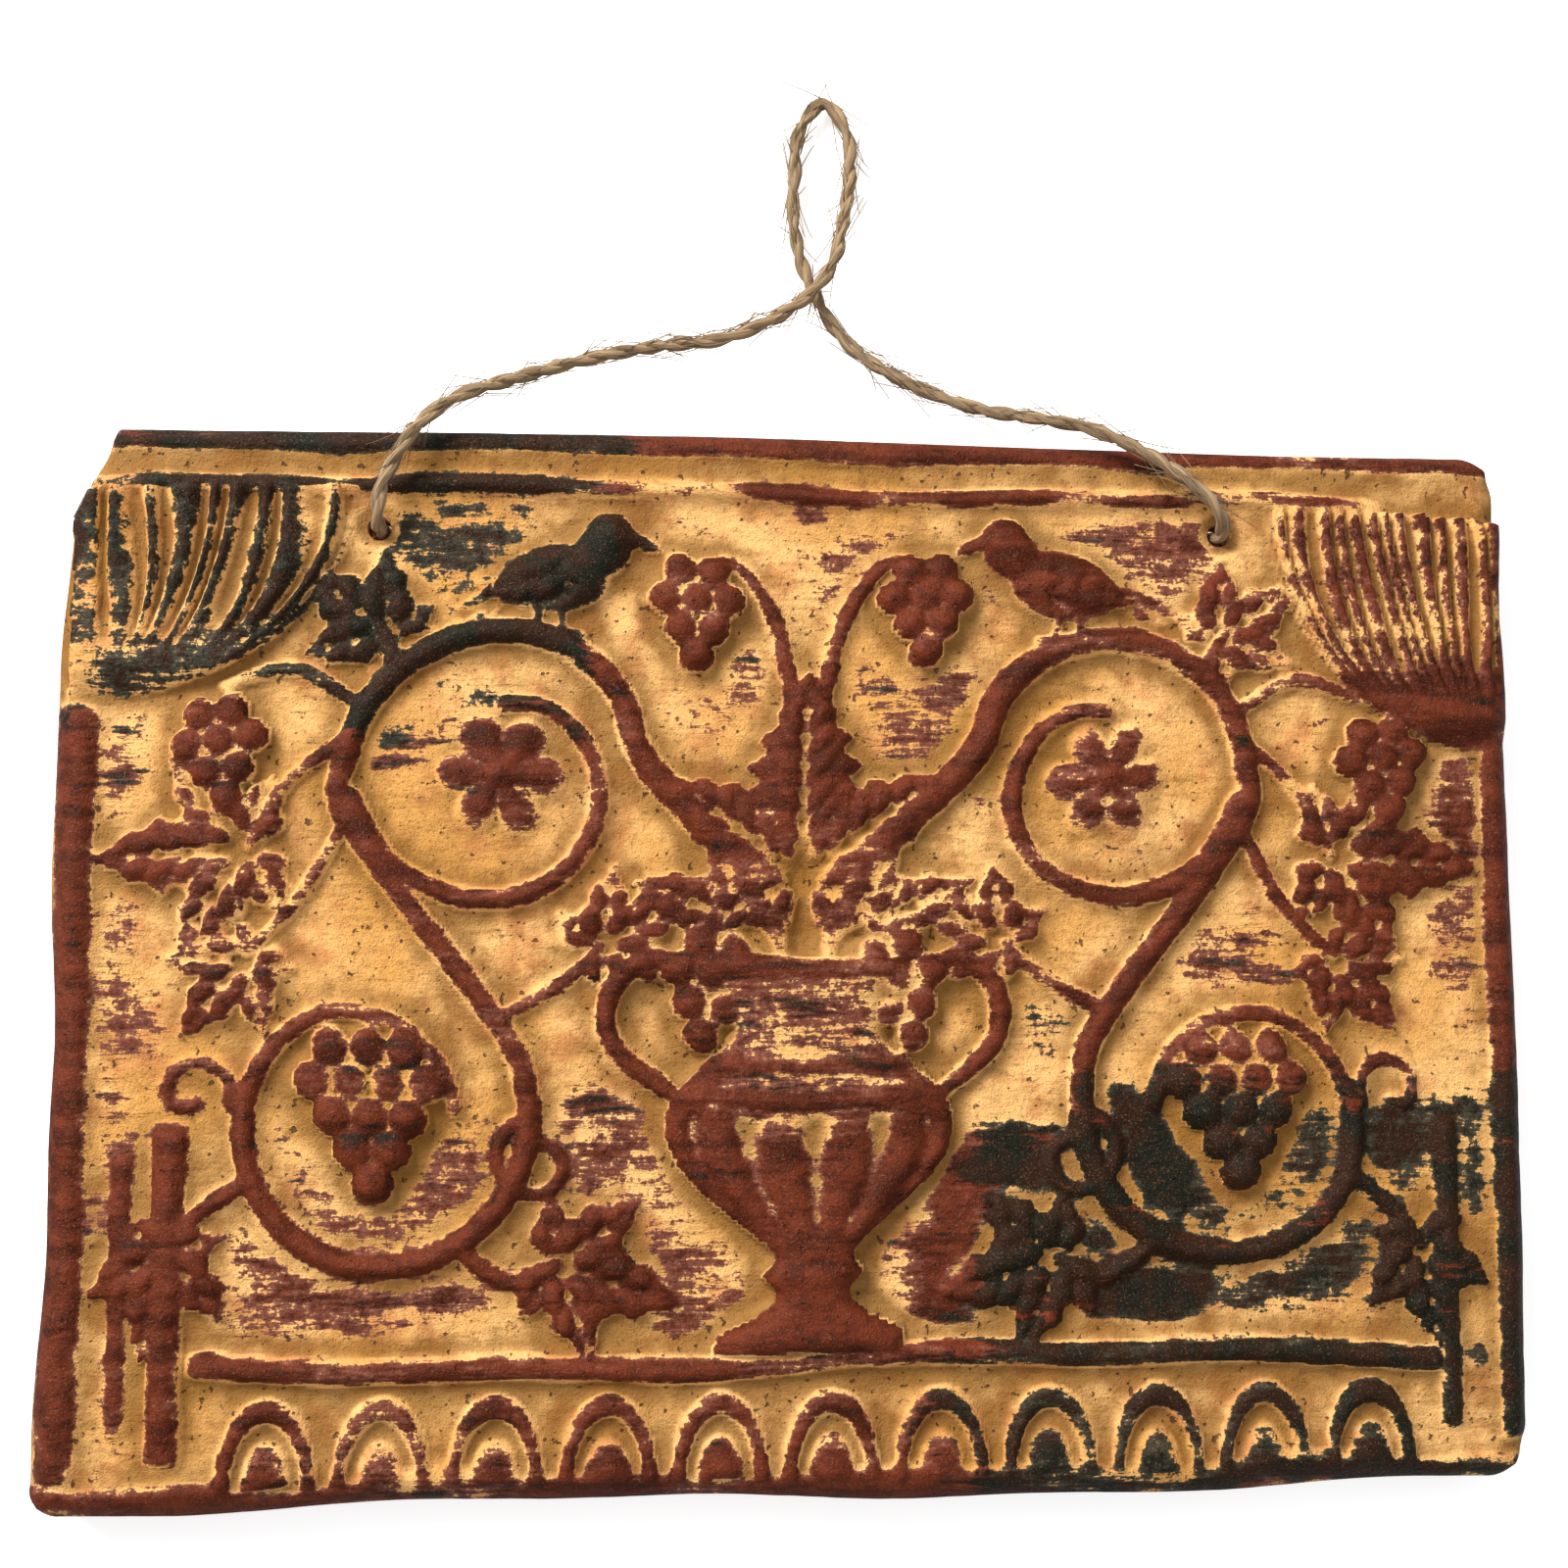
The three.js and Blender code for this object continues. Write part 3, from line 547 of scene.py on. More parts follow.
# Each side bar: middle, half width, low end, high end and height.
BARS = [
    (-110.2, 3.4, -76, 36, 1.6), (-94.5, 2.7, -74, -27, 2.2), (-101.5, 1.5, -70, -31, 1.2),
    (110.5, 2.8, -74, 33, 1.8), (100, 1.7, -72, -27, 1.8),
]
FOOT_LINE, FOOT_HEIGHT = -76.6, 1.2


def frame_rise(x, z):
    """Side bars, ledge, ridge, rim and foot. Their lines waver as a hand pressed them."""
    top = np.zeros_like(x)
    for bx, half, low, high, height in BARS:
        ends = smoothstep(low - 1.5, low + 1.5, z) * smoothstep(high + 3, high, z)
        top = np.maximum(top, height * ends * rounded((x - bx) / half))
    ends = smoothstep(LEDGE_LEFT - 2, LEDGE_LEFT, x) * smoothstep(LEDGE_RIGHT + 2, LEDGE_RIGHT, x)
    line = LEDGE_Z + 0.8 * np.sin(x / 23) + 0.5 * np.sin(x / 9)
    top = np.maximum(top, LEDGE_HEIGHT * ends * rounded((z - line) / LEDGE_HALF))
    # What follows wavers up and down: the ridge, the rim and the foot.
    z = z + 0.4 * np.sin(x / 17 + 1) + 0.25 * np.sin(x / 6.5)
    ridge = smoothstep(RIDGE_LOW - 0.3, RIDGE_LOW + 0.7, z)
    ridge = ridge * smoothstep(RIDGE_HIGH, RIDGE_HIGH - 1.6, z)
    fades = smoothstep(RIDGE_FADES + 5, RIDGE_FADES - 3, x)
    top = np.maximum(top, RIDGE_HEIGHT * ridge * fades)
    top = np.maximum(top, RIM_HEIGHT * smoothstep(RIM_INNER - 1, RIM_INNER + 1, z))
    foot_line = FOOT_LINE + 0.8 * np.sin(x / 11) + 0.6 * np.sin(x / 5.3)
    return np.maximum(top, FOOT_HEIGHT * smoothstep(foot_line + 1, foot_line - 1, z))


def tongue_rise(x, z):
    """A row of standing tongues under the ledge, each an egg inside a raised rim."""
    pitch = (LEDGE_RIGHT - LEDGE_LEFT - 4) / TONGUES
    step = np.floor((x - LEDGE_LEFT - 2) / pitch)
    middle = LEDGE_LEFT + 2 + (step + 0.5) * pitch
    out = np.hypot((x - middle) / TONGUE_HALF, (z - TONGUE_FOOT) / TONGUE_TALL)
    rise = TONGUE_HEIGHT * np.maximum(rounded((out - 0.86) / 0.16), rounded(out / 0.55))
    return np.where((step >= 0) & (step < TONGUES) & (z > TONGUE_FOOT), rise, 0)


def vine_side(side):
    """One half of the vine: side is -1 for the left half and 1 for the right."""

    def flip(points):
        return [(side * x, z) for x, z in points]

    def stalk(*points):
        return stem(flip(points), 1.3, 1.1, 1.9)

    def leaf(x, z, size, turn):
        return vine_leaf(side * x, z, size, turn if side > 0 else 180 - turn)

    upper_x, upper_z = 47, 27
    lower_x, lower_z = 66, -25
    main = [(4, 2), (10, 14)] + spiral(upper_x, upper_z, 170, -20, 22, 23)
    main += spiral(lower_x, lower_z, 140, 420, 25, 17) + spiral(lower_x, lower_z, 440, 530, 16, 13)
    return [
        stem(flip(main), 2.6, 1.4, 2.6),
        stem(flip(spiral(upper_x, upper_z, -10, -270, 22, 11)), 2, 1.3, 2.4),
        rosette(side * upper_x, upper_z, 10, 6),
        stalk((64.6, -9.8), (66, -14)),
        grape_bunch(side * lower_x, lower_z + 13, -90, [3, 4, 3, 2, 1], 5.6),
        stalk((69, 33), (78, 26), (84, 16)),
        leaf(84, 16, 23, -5),
        stalk((69, 20), (76, 8), (84, 0)),
        leaf(84, -1, 15, -50),
        stalk((53.6, -43.6), (45.5, -49), (38, -46)),
        leaf(38, -46, 19, 195),
        stalk((83.5, -33.8), (91, -39), (95, -44)),
        leaf(95, -44, 16, -80),
        stalk((62, 44), (66, 50)),
        leaf(65, 49, 16, 35),
        stalk((46.6, -9.4), (37, -4), (31, 2)),
        stalk((68, 37.4), (78, 43), (89, 40)),
        leaf(31, 2, 16, 150),
        grape_bunch(side * 90, 38, -80, [2, 3, 2, 1], 4.9),
        stem(flip(spiral(41, -31, 60, -330, 7, 1.6)), 1.2, 0.8, 1.8),
        stem(flip(spiral(92, -21, 200, -120, 6, 1.6)), 1.2, 0.8, 1.8),
    ]


def centre_piece():
    forms = [urn(), vine_leaf(0, 12, 33, 90, 3.4)]
    for side in (-1, 1):
        forms += [
            urn_handle(side),
            vine_leaf(side * 9, 5, 19, 90 - side * 68),
            grape_bunch(side * 13, 4, -90 + side * 12, [2, 3, 2, 1]),
            stem([(side * 2, 38), (side * 5, 52), (side * 11, 61), (side * 17, 61)], 1.5, 1.1, 2),
            grape_bunch(side * 17.5, 62, -90, [2, 3, 2, 1], 4.9),
        ]
    return forms


def joined(a, b):
    """Softly joined union of two heights."""
    near = np.maximum(BLEND - np.abs(a - b), 0) / BLEND
    return np.maximum(a, b) + 0.25 * BLEND * near * near * np.minimum(1, np.minimum(a, b) / BLEND)


def hand_made(x, z):
    """Where a place of the panel was before it was pressed a little askew."""
    wx = x + 0.7 * np.sin(z / 15 + 1) + 0.4 * np.sin(x / 11 + z / 19)
    return wx, z + 0.7 * np.sin(x / 21 + 2) + 0.4 * np.sin(x / 9 - z / 14)


def relief(x, z):
    """The relief over the ground at places on the panel, but for the drapes."""
    wx, wz = hand_made(x, z)
    top = joined(frame_rise(x, z), tongue_rise(x, z))
    forms = vine_side(-1) + vine_side(1) + centre_piece()
    forms += bird(-40, 57.5, -1) + bird(40, 57.5, 1)
    for form in forms:
        near = (wx - form.x) ** 2 + (wz - form.z) ** 2 < form.reach**2
        top[near] = joined(top[near], form.rise(wx[near], wz[near]))
    return top + 0.35 * np.sin(x / 26 + 1) * np.sin(z / 19)


# ---------------------------------------------------------------- plaque mesh

# Each corner, by its sides: how far it is cut along x and z, and whether it is chipped.
CORNERS = {
    (-1, 1): (7, 15, True), (1, 1): (7, 7, False),
    (1, -1): (6.5, 6.5, False), (-1, -1): (4, 4, False),
}
CELLS_X, CELLS_Z = 368, 246


def on_panel(s, t):
    """Maps the square s, t in -1..1 to the panel with its cut corners and hand-made edges."""
    x, z = s * WIDTH / 2, t * HEIGHT / 2
    for (sx, sz), (cx, cz, chipped) in CORNERS.items():
        a = (sx * x - WIDTH / 2 + cx) / cx
        b = (sz * z - HEIGHT / 2 + cz) / cz
        inside = (a > 0) & (b > 0) & (sx * s > 0) & (sz * t > 0)
        in_x = 1 - b / 2 if chipped else np.sqrt(np.maximum(0, 1 - b * b / 2))
        in_z = 1 - a / 2 if chipped else np.sqrt(np.maximum(0, 1 - a * a / 2))
        x, z = (
            np.where(inside, sx * (WIDTH / 2 - cx * (1 - a * in_x)), x),
            np.where(inside, sz * (HEIGHT / 2 - cz * (1 - b * in_z)), z),
        )
    left = 0.7 * np.sin(z / 17) + 0.3 * np.sin(z / 6)
    right = 0.6 * np.sin(z / 21 + 2)
    top = 0.5 * np.sin(x / 31 + 2)
    bottom = 0.7 * np.sin(x / 24) + 0.3 * np.sin(x / 8)
    return x + s**3 * np.where(s < 0, left, right), z + t**3 * np.where(t > 0, top, bottom)


def blurred(field, cells):
    """A field averaged over a few cells each way, three times."""
    for _ in range(3):
        for axis in (0, 1):
            pad = [(cells, cells) if k == axis else (0, 0) for k in (0, 1)]
            total = np.cumsum(np.pad(field, pad, mode="edge"), axis=axis)
            total = np.insert(total, 0, 0, axis=axis)
            n = field.shape[axis]
            wide = 2 * cells + 1
            take = [slice(None)] * 2
            take[axis] = slice(wide, wide + n)
            high = total[tuple(take)]
            take[axis] = slice(0, n)
            field = (high - total[tuple(take)]) / wide
    return field


def plaque_fields():
    """Panel places, rise, paint, green and hollow at every point of the front grid."""
    s, t = np.meshgrid(np.linspace(-1, 1, CELLS_X + 1), np.linspace(-1, 1, CELLS_Z + 1))
    x, z = on_panel(s, t)
    carved = relief(x, z)
    soft = (3 * carved + 4 * blurred(carved, 1)) / 7
    folds = np.zeros_like(x)
    for shape in DRAPES:
        cloth, fold = drape(*hand_made(x, z), *shape)
        soft, folds = joined(soft, cloth), np.maximum(folds, fold)
    lumps = 0.5 * (cloud(x, z, 5.5, 1) - 0.5) + 0.28 * (cloud(x, z, 2.2, 2) - 0.5)
    waves = 0.7 * (cloud(x, z, 24, 6) - 0.5)
    dimples = sum(rounded(np.hypot(x - hx, z - hz) / HOLE_DIAMETER) for hx, hz in HOLES)
    soft = soft + 0.6 * lumps + waves - 0.9 * dimples
    inward = np.minimum((1 - np.abs(s)) * WIDTH / 2, (1 - np.abs(t)) * HEIGHT / 2)
    drop = EDGE_DROP * np.clip(1 - inward / EDGE_WIDTH, 0, 1) ** 2
    hollow = blurred(soft, 4) - soft
    # A brush reaches what stands proud of its surroundings and misses narrow grooves.
    proud = 0.5 * np.clip(soft - blurred(soft, 9), -1, 1.2)
    proud = proud + 2.3 * np.clip(soft - blurred(soft, 2), -0.7, 0.1)
    paint, green = paint_fields(x, z, soft - waves, proud, hollow, folds, inward)
    return x, z, soft - drop, paint, green, hollow


def patch(x, z, cx, cz, half_x, half_z, soft):
    """1 inside a brushed patch, fading to 0 over a soft border."""
    dx = np.maximum(np.abs(x - cx) - half_x, 0)
    dz = np.maximum(np.abs(z - cz) - half_z, 0)
    return smoothstep(soft, 0, np.hypot(dx, dz * 1.6))


# Brushed over the ground as well: centre, half width and height, soft border and weight.
BRUSHED = [
    (36, 62, 26, 5, 8, 1.1), (-62, 44, 16, 12, 12, 0.8), (4, 34, 24, 10, 12, 0.85),
    (-26, -40, 82, 13, 9, 1.15), (62, -40, 38, 13, 9, 1.35), (-108, -14, 6, 52, 8, 0.9),
    (110, -6, 4, 60, 6, 0.9), (0, 77, 112, 3, 5, 1.05), (-72, 78, 30, 3, 6, 0.7),
    (28, 78, 44, 2.5, 6, 0.6), (98, 26, 9, 16, 10, 0.9), (-40, 65, 22, 3, 6, 0.9),
    (0, -80, 108, 1.5, 4, 0.8), (74, 4, 16, 9, 12, 0.8),
]
# Painted black-green instead of red-brown: centre, half width and height, soft border.
GREEN = [
    (-90, 58, 22, 14, 16), (-56, 52, 14, 10, 16), (-66, 76, 20, 4, 34), (74, -40, 34, 13, 20),
    (104, -70, 14, 10, 18), (52, -70, 26, 8, 16),
]


def paint_fields(x, z, rise, proud, hollow, folds, inward):
    """How much dark paint the brush left, and how far it is the black-green one."""
    wear = 0.9 * (cloud(x, z * 2.2, 22, 3) - 0.6) + 0.6 * (cloud(x, z * 2.6, 8, 4) - 0.5)
    amount = blurred(smoothstep(0.4, 1.4, rise), 1) + proud + wear
    amount = np.where(folds > 0, 1.9 * folds - 0.55 + wear, amount)
    amount = amount + 0.4 * smoothstep(EDGE_WIDTH + 1, 0.5, inward)
    above = smoothstep(RIDGE_LOW - 1.8, RIDGE_LOW + 0.2, z)
    amount = amount - 1.3 * above * cloud(x, z * 3, 10, 12)
    skipped = 1 - 0.7 * smoothstep(0.3, 0.8, hollow)
    # Patches are looked up at a shifted place, so that their borders come out ragged.
    px = x + 14 * (cloud(x, z, 15, 8) - 0.5) + 5 * (cloud(x, z, 4, 10) - 0.5)
    pz = z + 11 * (cloud(x, z, 17, 9) - 0.5) + 3 * (cloud(x, z, 4, 11) - 0.5)
    for cx, cz, half_x, half_z, soft, weight in BRUSHED:
        amount = amount + weight * patch(px, pz, cx, cz, half_x, half_z, soft) * skipped
    green = sum(patch(px, pz, *zone) for zone in GREEN)
    green = 1.2 * green + 0.45 * (cloud(x, z * 1.6, 13, 5) - 0.5)
    green = green + 0.35 * (cloud(x, z * 2.5, 4, 7) - 0.5)
    return amount, np.clip(green, -0.5, 1.5)


# The side, ring by ring to the back: share of the edge's depth, swell outwards, and how
# much of the front's look it carries.
SIDE_RINGS = [(0.7, 0.3, 0.9), (0.38, 0.35, 0.75), (0.14, 0.1, 0.45), (0, -BACK_EDGE, 0.0)]
SIDE_PAINT = 0.8


def build_plaque():
    """The slab as one closed mesh: front grid, side rings and a flat back."""
    x, z, rise, paint, green, hollow = plaque_fields()
    rows, columns = x.shape
    depth = GROUND_DEPTH + rise
    front = np.stack([x + CENTRE_X, -depth, z + CENTRE_Z], -1).reshape(-1, 3)
    grid = np.arange(rows * columns).reshape(rows, columns)
    quads = np.stack([grid[:-1, :-1], grid[:-1, 1:], grid[1:, 1:], grid[1:, :-1]], -1)
    border = np.concatenate([grid[0, :-1], grid[:-1, -1], grid[-1, :0:-1], grid[:0:-1, 0]])
    edge = front[border]
    out = (edge - [CENTRE_X, 0, CENTRE_Z]) * [1, 0, 1]
    out /= np.linalg.norm(out, axis=1, keepdims=True)
    vertices, faces = [front], [tuple(q) for q in quads.reshape(-1, 4)]
    last = border
    for k, (share, swell, _) in enumerate(SIDE_RINGS):
        vertices.append(edge * [1, share, 1] + out * swell)
        here = len(front) + k * len(border) + np.arange(len(border))
        faces += zip(last, here, np.roll(here, -1), np.roll(last, -1))
        last = here
    faces.append(tuple(last[::-1]))
    obj = add_mesh("painted_plaque", np.vstack(vertices) * MM, faces)
    fields = {"paint": paint, "green": green, "hollow": hollow, "front": np.ones_like(x)}
    for name, field in fields.items():
        rings = [field.reshape(-1)[border] for _ in SIDE_RINGS]
        if name == "paint":
            rings = [ring + SIDE_PAINT for ring in rings]
        if name == "front":
            rings = [ring * look for ring, (_, _, look) in zip(rings, SIDE_RINGS)]
        values = np.concatenate([field.reshape(-1)] + rings)
        attribute = obj.data.attributes.new(name, "FLOAT", "POINT")
        attribute.data.foreach_set("value", values.astype(np.float32))
    return obj


def cut_holes(obj):
    """Bores both twine holes with a thumb-pressed hollow each, and shades the back flat."""
    radius = HOLE_DIAMETER / 2 * MM
    for hx, hz in HOLES:
        bore = bmesh.new()
        bmesh.ops.create_cone(
            bore, cap_ends=True, segments=40, radius1=radius, radius2=radius, depth=0.05,
            matrix=Matrix.Translation(world(hx, 0, hz)) @ Matrix.Rotation(math.pi / 2, 4, "X"),
        )
        hollow = bmesh.new()
        bmesh.ops.create_uvsphere(
            hollow, u_segments=48, v_segments=32, radius=HOLLOW_RADIUS * MM,
            matrix=Matrix.Translation(world(hx, HOLLOW_DEPTH - HOLLOW_RADIUS, hz)),
        )
        for shape in (bore, hollow):
            mesh = bpy.data.meshes.new("cutter")
            shape.to_mesh(mesh)
            shape.free()
            cutter = bpy.data.objects.new("cutter", mesh)
            bpy.context.scene.collection.objects.link(cutter)
            cut = obj.modifiers.new("cut", "BOOLEAN")
            cut.operation = "DIFFERENCE"
            cut.solver = "MANIFOLD"
            cut.object = cutter
            bpy.context.view_layer.update()
            graph = bpy.context.evaluated_depsgraph_get()
            result = bpy.data.meshes.new_from_object(
                obj.evaluated_get(graph), preserve_all_data_layers=True, depsgraph=graph,
            )
            obj.modifiers.clear()
            obj.data = result
            bpy.data.objects.remove(cutter)
    places = np.empty(len(obj.data.vertices) * 3, np.float32)
    obj.data.vertices.foreach_get("co", places)
    on_back = places[1::3] > -0.02 * MM
    smooth = [not on_back[list(face.vertices)].all() for face in obj.data.polygons]
    obj.data.polygons.foreach_set("use_smooth", smooth)


plaque = build_plaque()
cut_holes(plaque)
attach(plaque, "root")
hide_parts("plaque")

# ---------------------------------------------------------------- material kit


class Shader:
    """A material with a Principled shader and short ways to add its nodes."""

    def __init__(self, name):
        self.material = bpy.data.materials.new(name)
        self.material.use_nodes = True
        self.nodes = self.material.node_tree.nodes
        self.links = self.material.node_tree.links
        self.surface = self.nodes["Principled BSDF"]

    def set(self, node, key, value):
        if isinstance(value, bpy.types.NodeSocket):
            self.links.new(value, node.inputs[key])
        else:
            node.inputs[key].default_value = value

    def attribute(self, name):
        node = self.nodes.new("ShaderNodeAttribute")
        node.attribute_name = name
        return node.outputs["Fac"]

    def place(self, stretch):
        """The place on the object, scaled along each axis."""
        node = self.nodes.new("ShaderNodeMapping")
        node.inputs["Scale"].default_value = stretch
        self.set(node, "Vector", self.nodes.new("ShaderNodeTexCoord").outputs["Object"])
        return node.outputs["Vector"]

    def noise(self, vector, scale, detail=3.0, roughness=0.55):
        node = self.nodes.new("ShaderNodeTexNoise")
        self.set(node, "Vector", vector)
        for key, value in (("Scale", scale), ("Detail", detail), ("Roughness", roughness)):
            node.inputs[key].default_value = value
        return node.outputs["Fac"]

    def math(self, operation, a, b=0.0, c=0.0):
        node = self.nodes.new("ShaderNodeMath")
        node.operation = operation
        for key, value in enumerate((a, b, c)):
            self.set(node, key, value)
        return node.outputs["Value"]

    def ease(self, value, low, high, to_low=0.0, to_high=1.0):
        """Eases from one result to another while the value goes from low to high."""
        node = self.nodes.new("ShaderNodeMapRange")
        node.interpolation_type = "SMOOTHSTEP"
        for key, amount in enumerate((value, low, high, to_low, to_high)):
            self.set(node, key, amount)
        return node.outputs["Result"]

    def mix(self, share, a, b):
        """Colour a, with a share of colour b; inputs 6 and 7 of the node take colours."""
        node = self.nodes.new("ShaderNodeMix")
        node.data_type = "RGBA"
        self.set(node, "Factor", share)
        for key, colour in ((6, a), (7, b)):
            is_socket = isinstance(colour, bpy.types.NodeSocket)
            self.set(node, key, colour if is_socket else (*colour, 1.0))
        return node.outputs[2]

    def bump(self, height, distance):
        """A bump of that distance in metres for a height of 1."""
        node = self.nodes.new("ShaderNodeBump")
        node.inputs["Strength"].default_value = 1.0
        node.inputs["Distance"].default_value = distance
        self.set(node, "Height", height)
        return node.outputs["Normal"]


# ---------------------------------------------------------------- painted clay

OCHRE_LIGHT = (0.95, 0.53, 0.19)
OCHRE = (0.70, 0.335, 0.085)
OCHRE_SHADE = (0.20, 0.085, 0.013)
ORANGE = (0.66, 0.26, 0.085)
RED_BROWN = (0.060, 0.009, 0.002)
RUSSET = (0.150, 0.027, 0.009)
DEEP_RED = (0.045, 0.011, 0.005)
THIN_PURPLE = (0.22, 0.075, 0.048)
BLACK_GREEN = (0.009, 0.010, 0.005)
UMBER = (0.026, 0.010, 0.004)
THIN_GREEN = (0.055, 0.055, 0.036)
WORN = (0.36, 0.16, 0.075)
SPECK = (0.07, 0.03, 0.015)
BARE_CLAY = (0.46, 0.19, 0.085)
BARE_SHADE = (0.33, 0.125, 0.055)
BARE_LIGHT = (0.55, 0.27, 0.13)
JUTE_SHADE = (0.13, 0.076, 0.034)
JUTE_LIGHT = (0.46, 0.305, 0.155)
JUTE = (0.30, 0.19, 0.095)


def painted_clay():
    """Ochre ground, red-brown and black-green paint over it, and bare clay at the back."""
    sh = Shader("painted_clay")
    even = sh.place((1, 1, 1))
    drawn = sh.place((0.16, 1, 1))
    paint, green = sh.attribute("paint"), sh.attribute("green")
    hollow, front = sh.attribute("hollow"), sh.attribute("front")

    broad = sh.noise(even, 38, 3)
    blotch = sh.noise(even, 150, 3)
    mottle = sh.noise(even, 520, 3, 0.65)
    grit = sh.noise(even, 1700, 3, 0.7)
    sand = sh.noise(even, 3400, 2, 0.6)
    streak = sh.noise(drawn, 900, 3, 0.65)
    wide_streak = sh.noise(drawn, 280, 3, 0.65)

    def centred(noise, weight, onto):
        """Adds a noise, taken about its middle, to a value."""
        return sh.math("MULTIPLY_ADD", sh.math("SUBTRACT", noise, 0.5), weight, onto)

    ochre = sh.mix(sh.ease(broad, 0.32, 0.56), OCHRE, OCHRE_LIGHT)
    ochre = sh.mix(sh.ease(blotch, 0.48, 0.70, 0, 0.85), ochre, ORANGE)
    ochre = sh.mix(sh.ease(mottle, 0.50, 0.78, 0, 0.6), ochre, OCHRE_SHADE)
    ochre = sh.mix(sh.ease(grit, 0.52, 0.78, 0, 0.35), ochre, OCHRE_SHADE)
    ochre = sh.mix(sh.ease(sand, 0.52, 0.75, 0, 0.35), ochre, OCHRE_SHADE)
    ochre = sh.mix(sh.ease(grit, 0.24, 0.46, 0.4, 0), ochre, OCHRE_LIGHT)
    # Darker ochre in the hollows: partly dirt, partly painted shade where the recesses lie in
    # shadow.
    dirt_and_painted_shade = centred(blotch, 0.8, hollow)
    ochre = sh.mix(sh.ease(dirt_and_painted_shade, 0.02, 0.75, 0, 0.8), ochre, OCHRE_SHADE)
    ochre = sh.mix(sh.ease(streak, 0.48, 0.75, 0, 0.4), ochre, OCHRE_SHADE)
    specks = sh.ease(sh.noise(even, 760, 2, 0.5), 0.66, 0.73)
    ochre = sh.mix(sh.math("MULTIPLY", specks, 0.85), ochre, SPECK)

    # The noises break the paint's border up; seen keeps the paint off the plain back.
    laid = centred(streak, 2.6, paint)
    laid = centred(wide_streak, 2.1, laid)
    laid = centred(mottle, 2.0, laid)
    laid = centred(grit, 1.5, laid)
    seen = sh.ease(centred(blotch, 0.8, front), 0.3, 0.5)
    cover = sh.math("MULTIPLY", sh.ease(laid, 0.50, 0.64), seen)
    body = sh.ease(laid, 0.50, 1.5)
    red = sh.mix(sh.ease(wide_streak, 0.4, 0.65), RUSSET, RED_BROWN)
    red = sh.mix(sh.ease(mottle, 0.45, 0.7, 0, 0.6), red, DEEP_RED)
    red = sh.mix(body, THIN_PURPLE, red)
    dark = sh.mix(sh.ease(blotch, 0.38, 0.56), BLACK_GREEN, UMBER)
    dark = sh.mix(body, THIN_GREEN, dark)
    green_edge = centred(streak, 2.4, centred(wide_streak, 2.2, green))
    paint_colour = sh.mix(sh.ease(green_edge, 0.4, 0.8), red, dark)
    paint_colour = sh.mix(sh.ease(sand, 0.56, 0.72, 0, 0.36), paint_colour, WORN)
    opaque = sh.math("MULTIPLY", cover, sh.ease(laid, 0.5, 0.8, 0.82, 1))
    colour = sh.mix(opaque, ochre, paint_colour)

    clay = sh.mix(sh.ease(broad, 0.3, 0.7), BARE_CLAY, BARE_SHADE)
    clay = sh.mix(sh.ease(grit, 0.5, 0.9, 0, 0.5), clay, BARE_LIGHT)
    colour = sh.mix(seen, clay, colour)
    sh.set(sh.surface, "Base Color", colour)

    matt = sh.ease(grit, 0.3, 0.7, 0.62, 0.8)
    gloss = sh.ease(streak, 0.3, 0.7, 0.36, 0.52)
    mixed = sh.math("MULTIPLY_ADD", cover, sh.math("SUBTRACT", gloss, matt), matt)
    sh.set(sh.surface, "Roughness", mixed)
    sh.surface.inputs["Specular IOR Level"].default_value = 0.11

    # Heights in millimetres, in one bump because each bump node repeats all its noises.
    wiped = sh.noise(sh.place((0.35, 1, 1)), 110, 3, 0.5)
    height = sh.math("MULTIPLY", wiped, sh.math("MULTIPLY_ADD", front, -1.6, 1.6))
    lumps = sh.noise(even, 330, 3, 0.6)
    for shape, tall in ((lumps, 0.5), (grit, 0.2), (sand, 0.12), (streak, 0.14)):
        height = sh.math("MULTIPLY_ADD", shape, tall, height)
    height = sh.math("MULTIPLY_ADD", sh.math("MULTIPLY", specks, front), -0.3, height)
    edge = sh.ease(centred(streak, 2.6, paint), 0.3, 0.8)
    height = sh.math("MULTIPLY_ADD", sh.math("MULTIPLY", edge, front), 0.12, height)
    sh.set(sh.surface, "Normal", sh.bump(height, MM))
    return sh.material


def jute(name, fibre_scale):
    """Jute with strands along the cord; fibre_scale is how many go round it."""
    sh = Shader(name)
    uv = sh.nodes.new("ShaderNodeUVMap")
    uv.uv_map = "along"
    stretch = sh.nodes.new("ShaderNodeMapping")
    stretch.inputs["Scale"].default_value = (fibre_scale, 180, 1)
    sh.links.new(uv.outputs["UV"], stretch.inputs["Vector"])
    strands = sh.noise(stretch.outputs["Vector"], 1.0, 3, 0.6)
    patchy = sh.noise(sh.place((1, 1, 1)), 260, 3)
    colour = sh.mix(sh.ease(strands, 0.3, 0.7), JUTE_SHADE, JUTE_LIGHT)
    colour = sh.mix(sh.ease(patchy, 0.4, 0.7, 0, 0.6), colour, JUTE)
    sh.set(sh.surface, "Base Color", colour)
    sh.surface.inputs["Roughness"].default_value = 0.85
    sh.surface.inputs["Sheen Weight"].default_value = 0.12
    sh.set(sh.surface, "Normal", sh.bump(strands, 0.22 * MM))
    return sh.material


plaque.data.materials.clear()  # the cuts may leave an empty slot
plaque.data.materials.append(painted_clay())
twine_look = jute("jute_twine", 11)
for piece in (twine, knots):
    piece.data.materials.append(twine_look)
fibres.data.materials.append(jute("jute_fibre", 1))

# ---------------------------------------------------------------- wall, light and air


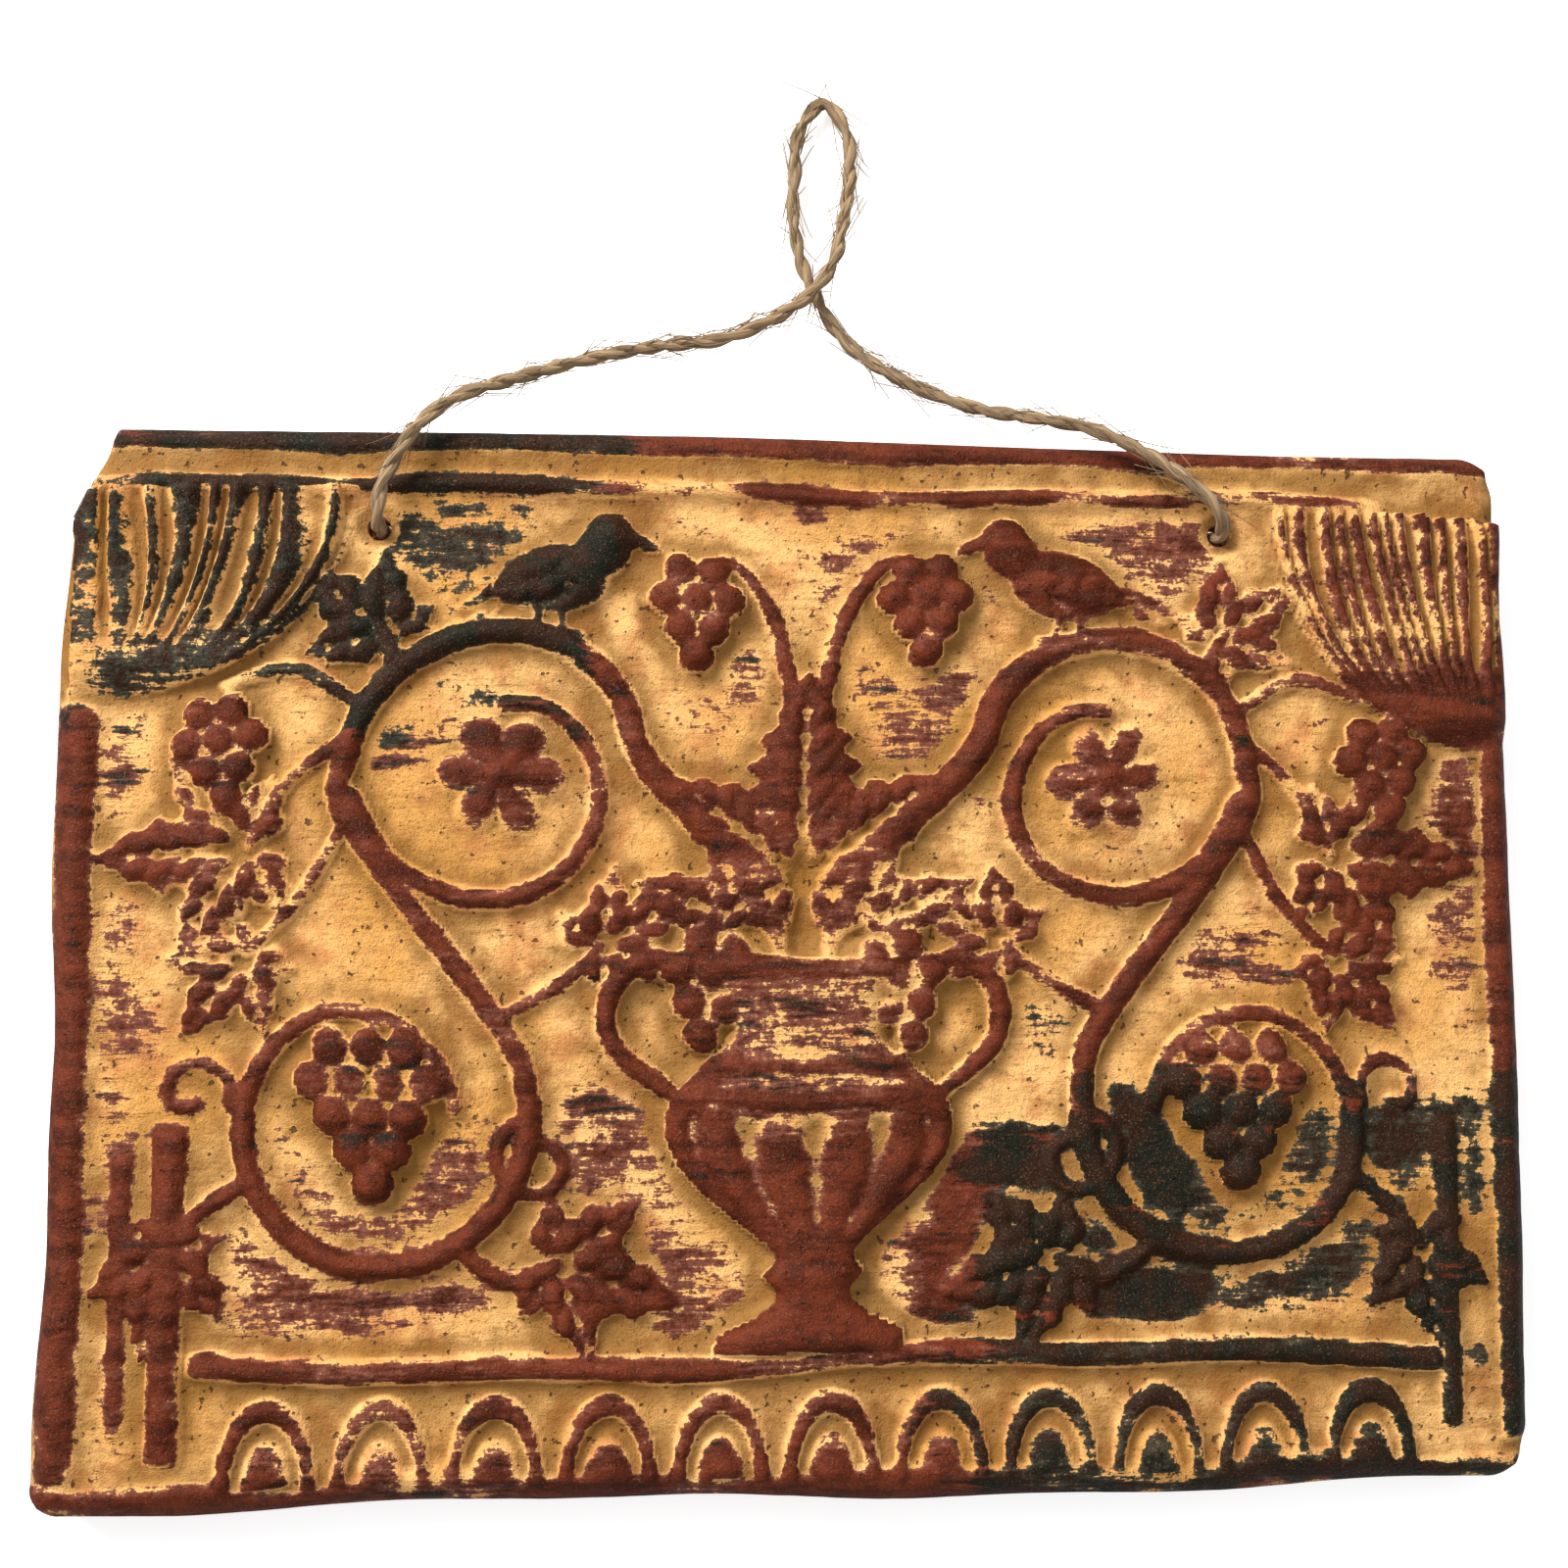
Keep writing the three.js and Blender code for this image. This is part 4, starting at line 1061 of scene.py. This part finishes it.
def add_wall():
    """A pale wall just behind the plaque that shows from its front only."""
    square = ((-1, -1), (1, -1), (1, 1), (-1, 1))
    corners = [
        (x * WALL_HALF_SIZE * MM, WALL_BEHIND * MM, (CENTRE_Z + z * WALL_HALF_SIZE) * MM)
        for x, z in square
    ]
    wall = add_mesh("wall", corners, [(0, 1, 2, 3)])
    sh = Shader("pale_wall")
    sh.surface.inputs["Base Color"].default_value = (0.86, 0.86, 0.86, 1)
    sh.surface.inputs["Roughness"].default_value = 0.9
    sh.surface.inputs["Emission Color"].default_value = (1, 1, 1, 1)
    sh.surface.inputs["Emission Strength"].default_value = 0.58
    clear = sh.nodes.new("ShaderNodeBsdfTransparent")
    choice = sh.nodes.new("ShaderNodeMixShader")
    facing = sh.nodes.new("ShaderNodeNewGeometry")
    sh.links.new(facing.outputs["Backfacing"], choice.inputs[0])
    sh.links.new(sh.surface.outputs[0], choice.inputs[1])
    sh.links.new(clear.outputs[0], choice.inputs[2])
    sh.links.new(choice.outputs[0], sh.nodes["Material Output"].inputs["Surface"])
    wall.data.materials.append(sh.material)
    wall.visible_shadow = False
    wall.visible_diffuse = False
    wall.visible_glossy = False


def add_light(name, position, energy, size):
    """A square area light that looks at the panel's centre."""
    data = bpy.data.lights.new(name, "AREA")
    data.energy = energy
    data.size = size
    light = bpy.data.objects.new(name, data)
    bpy.context.scene.collection.objects.link(light)
    light.location = position
    aim = world(0, 0, 0) - light.location
    light.rotation_euler = aim.to_track_quat("-Z", "Y").to_euler()


# Each light: name, place in metres, watts and side in metres.
LIGHTS = [
    ("key", (-0.80, -0.80, 0.75), 32, 0.6), ("fill", (0.6, -1.4, 0.0), 3, 1.2),
    ("behind", (-0.5, 1.3, 0.5), 22, 1.0),
]

add_wall()
for light in LIGHTS:
    add_light(*light)
air = bpy.data.worlds.new("air")
air.use_nodes = True
background = air.node_tree.nodes["Background"]
background.inputs["Color"].default_value = (1, 1, 1, 1)
background.inputs["Strength"].default_value = 0.46
bpy.context.scene.world = air
bpy.context.scene.view_settings.view_transform = "Standard"
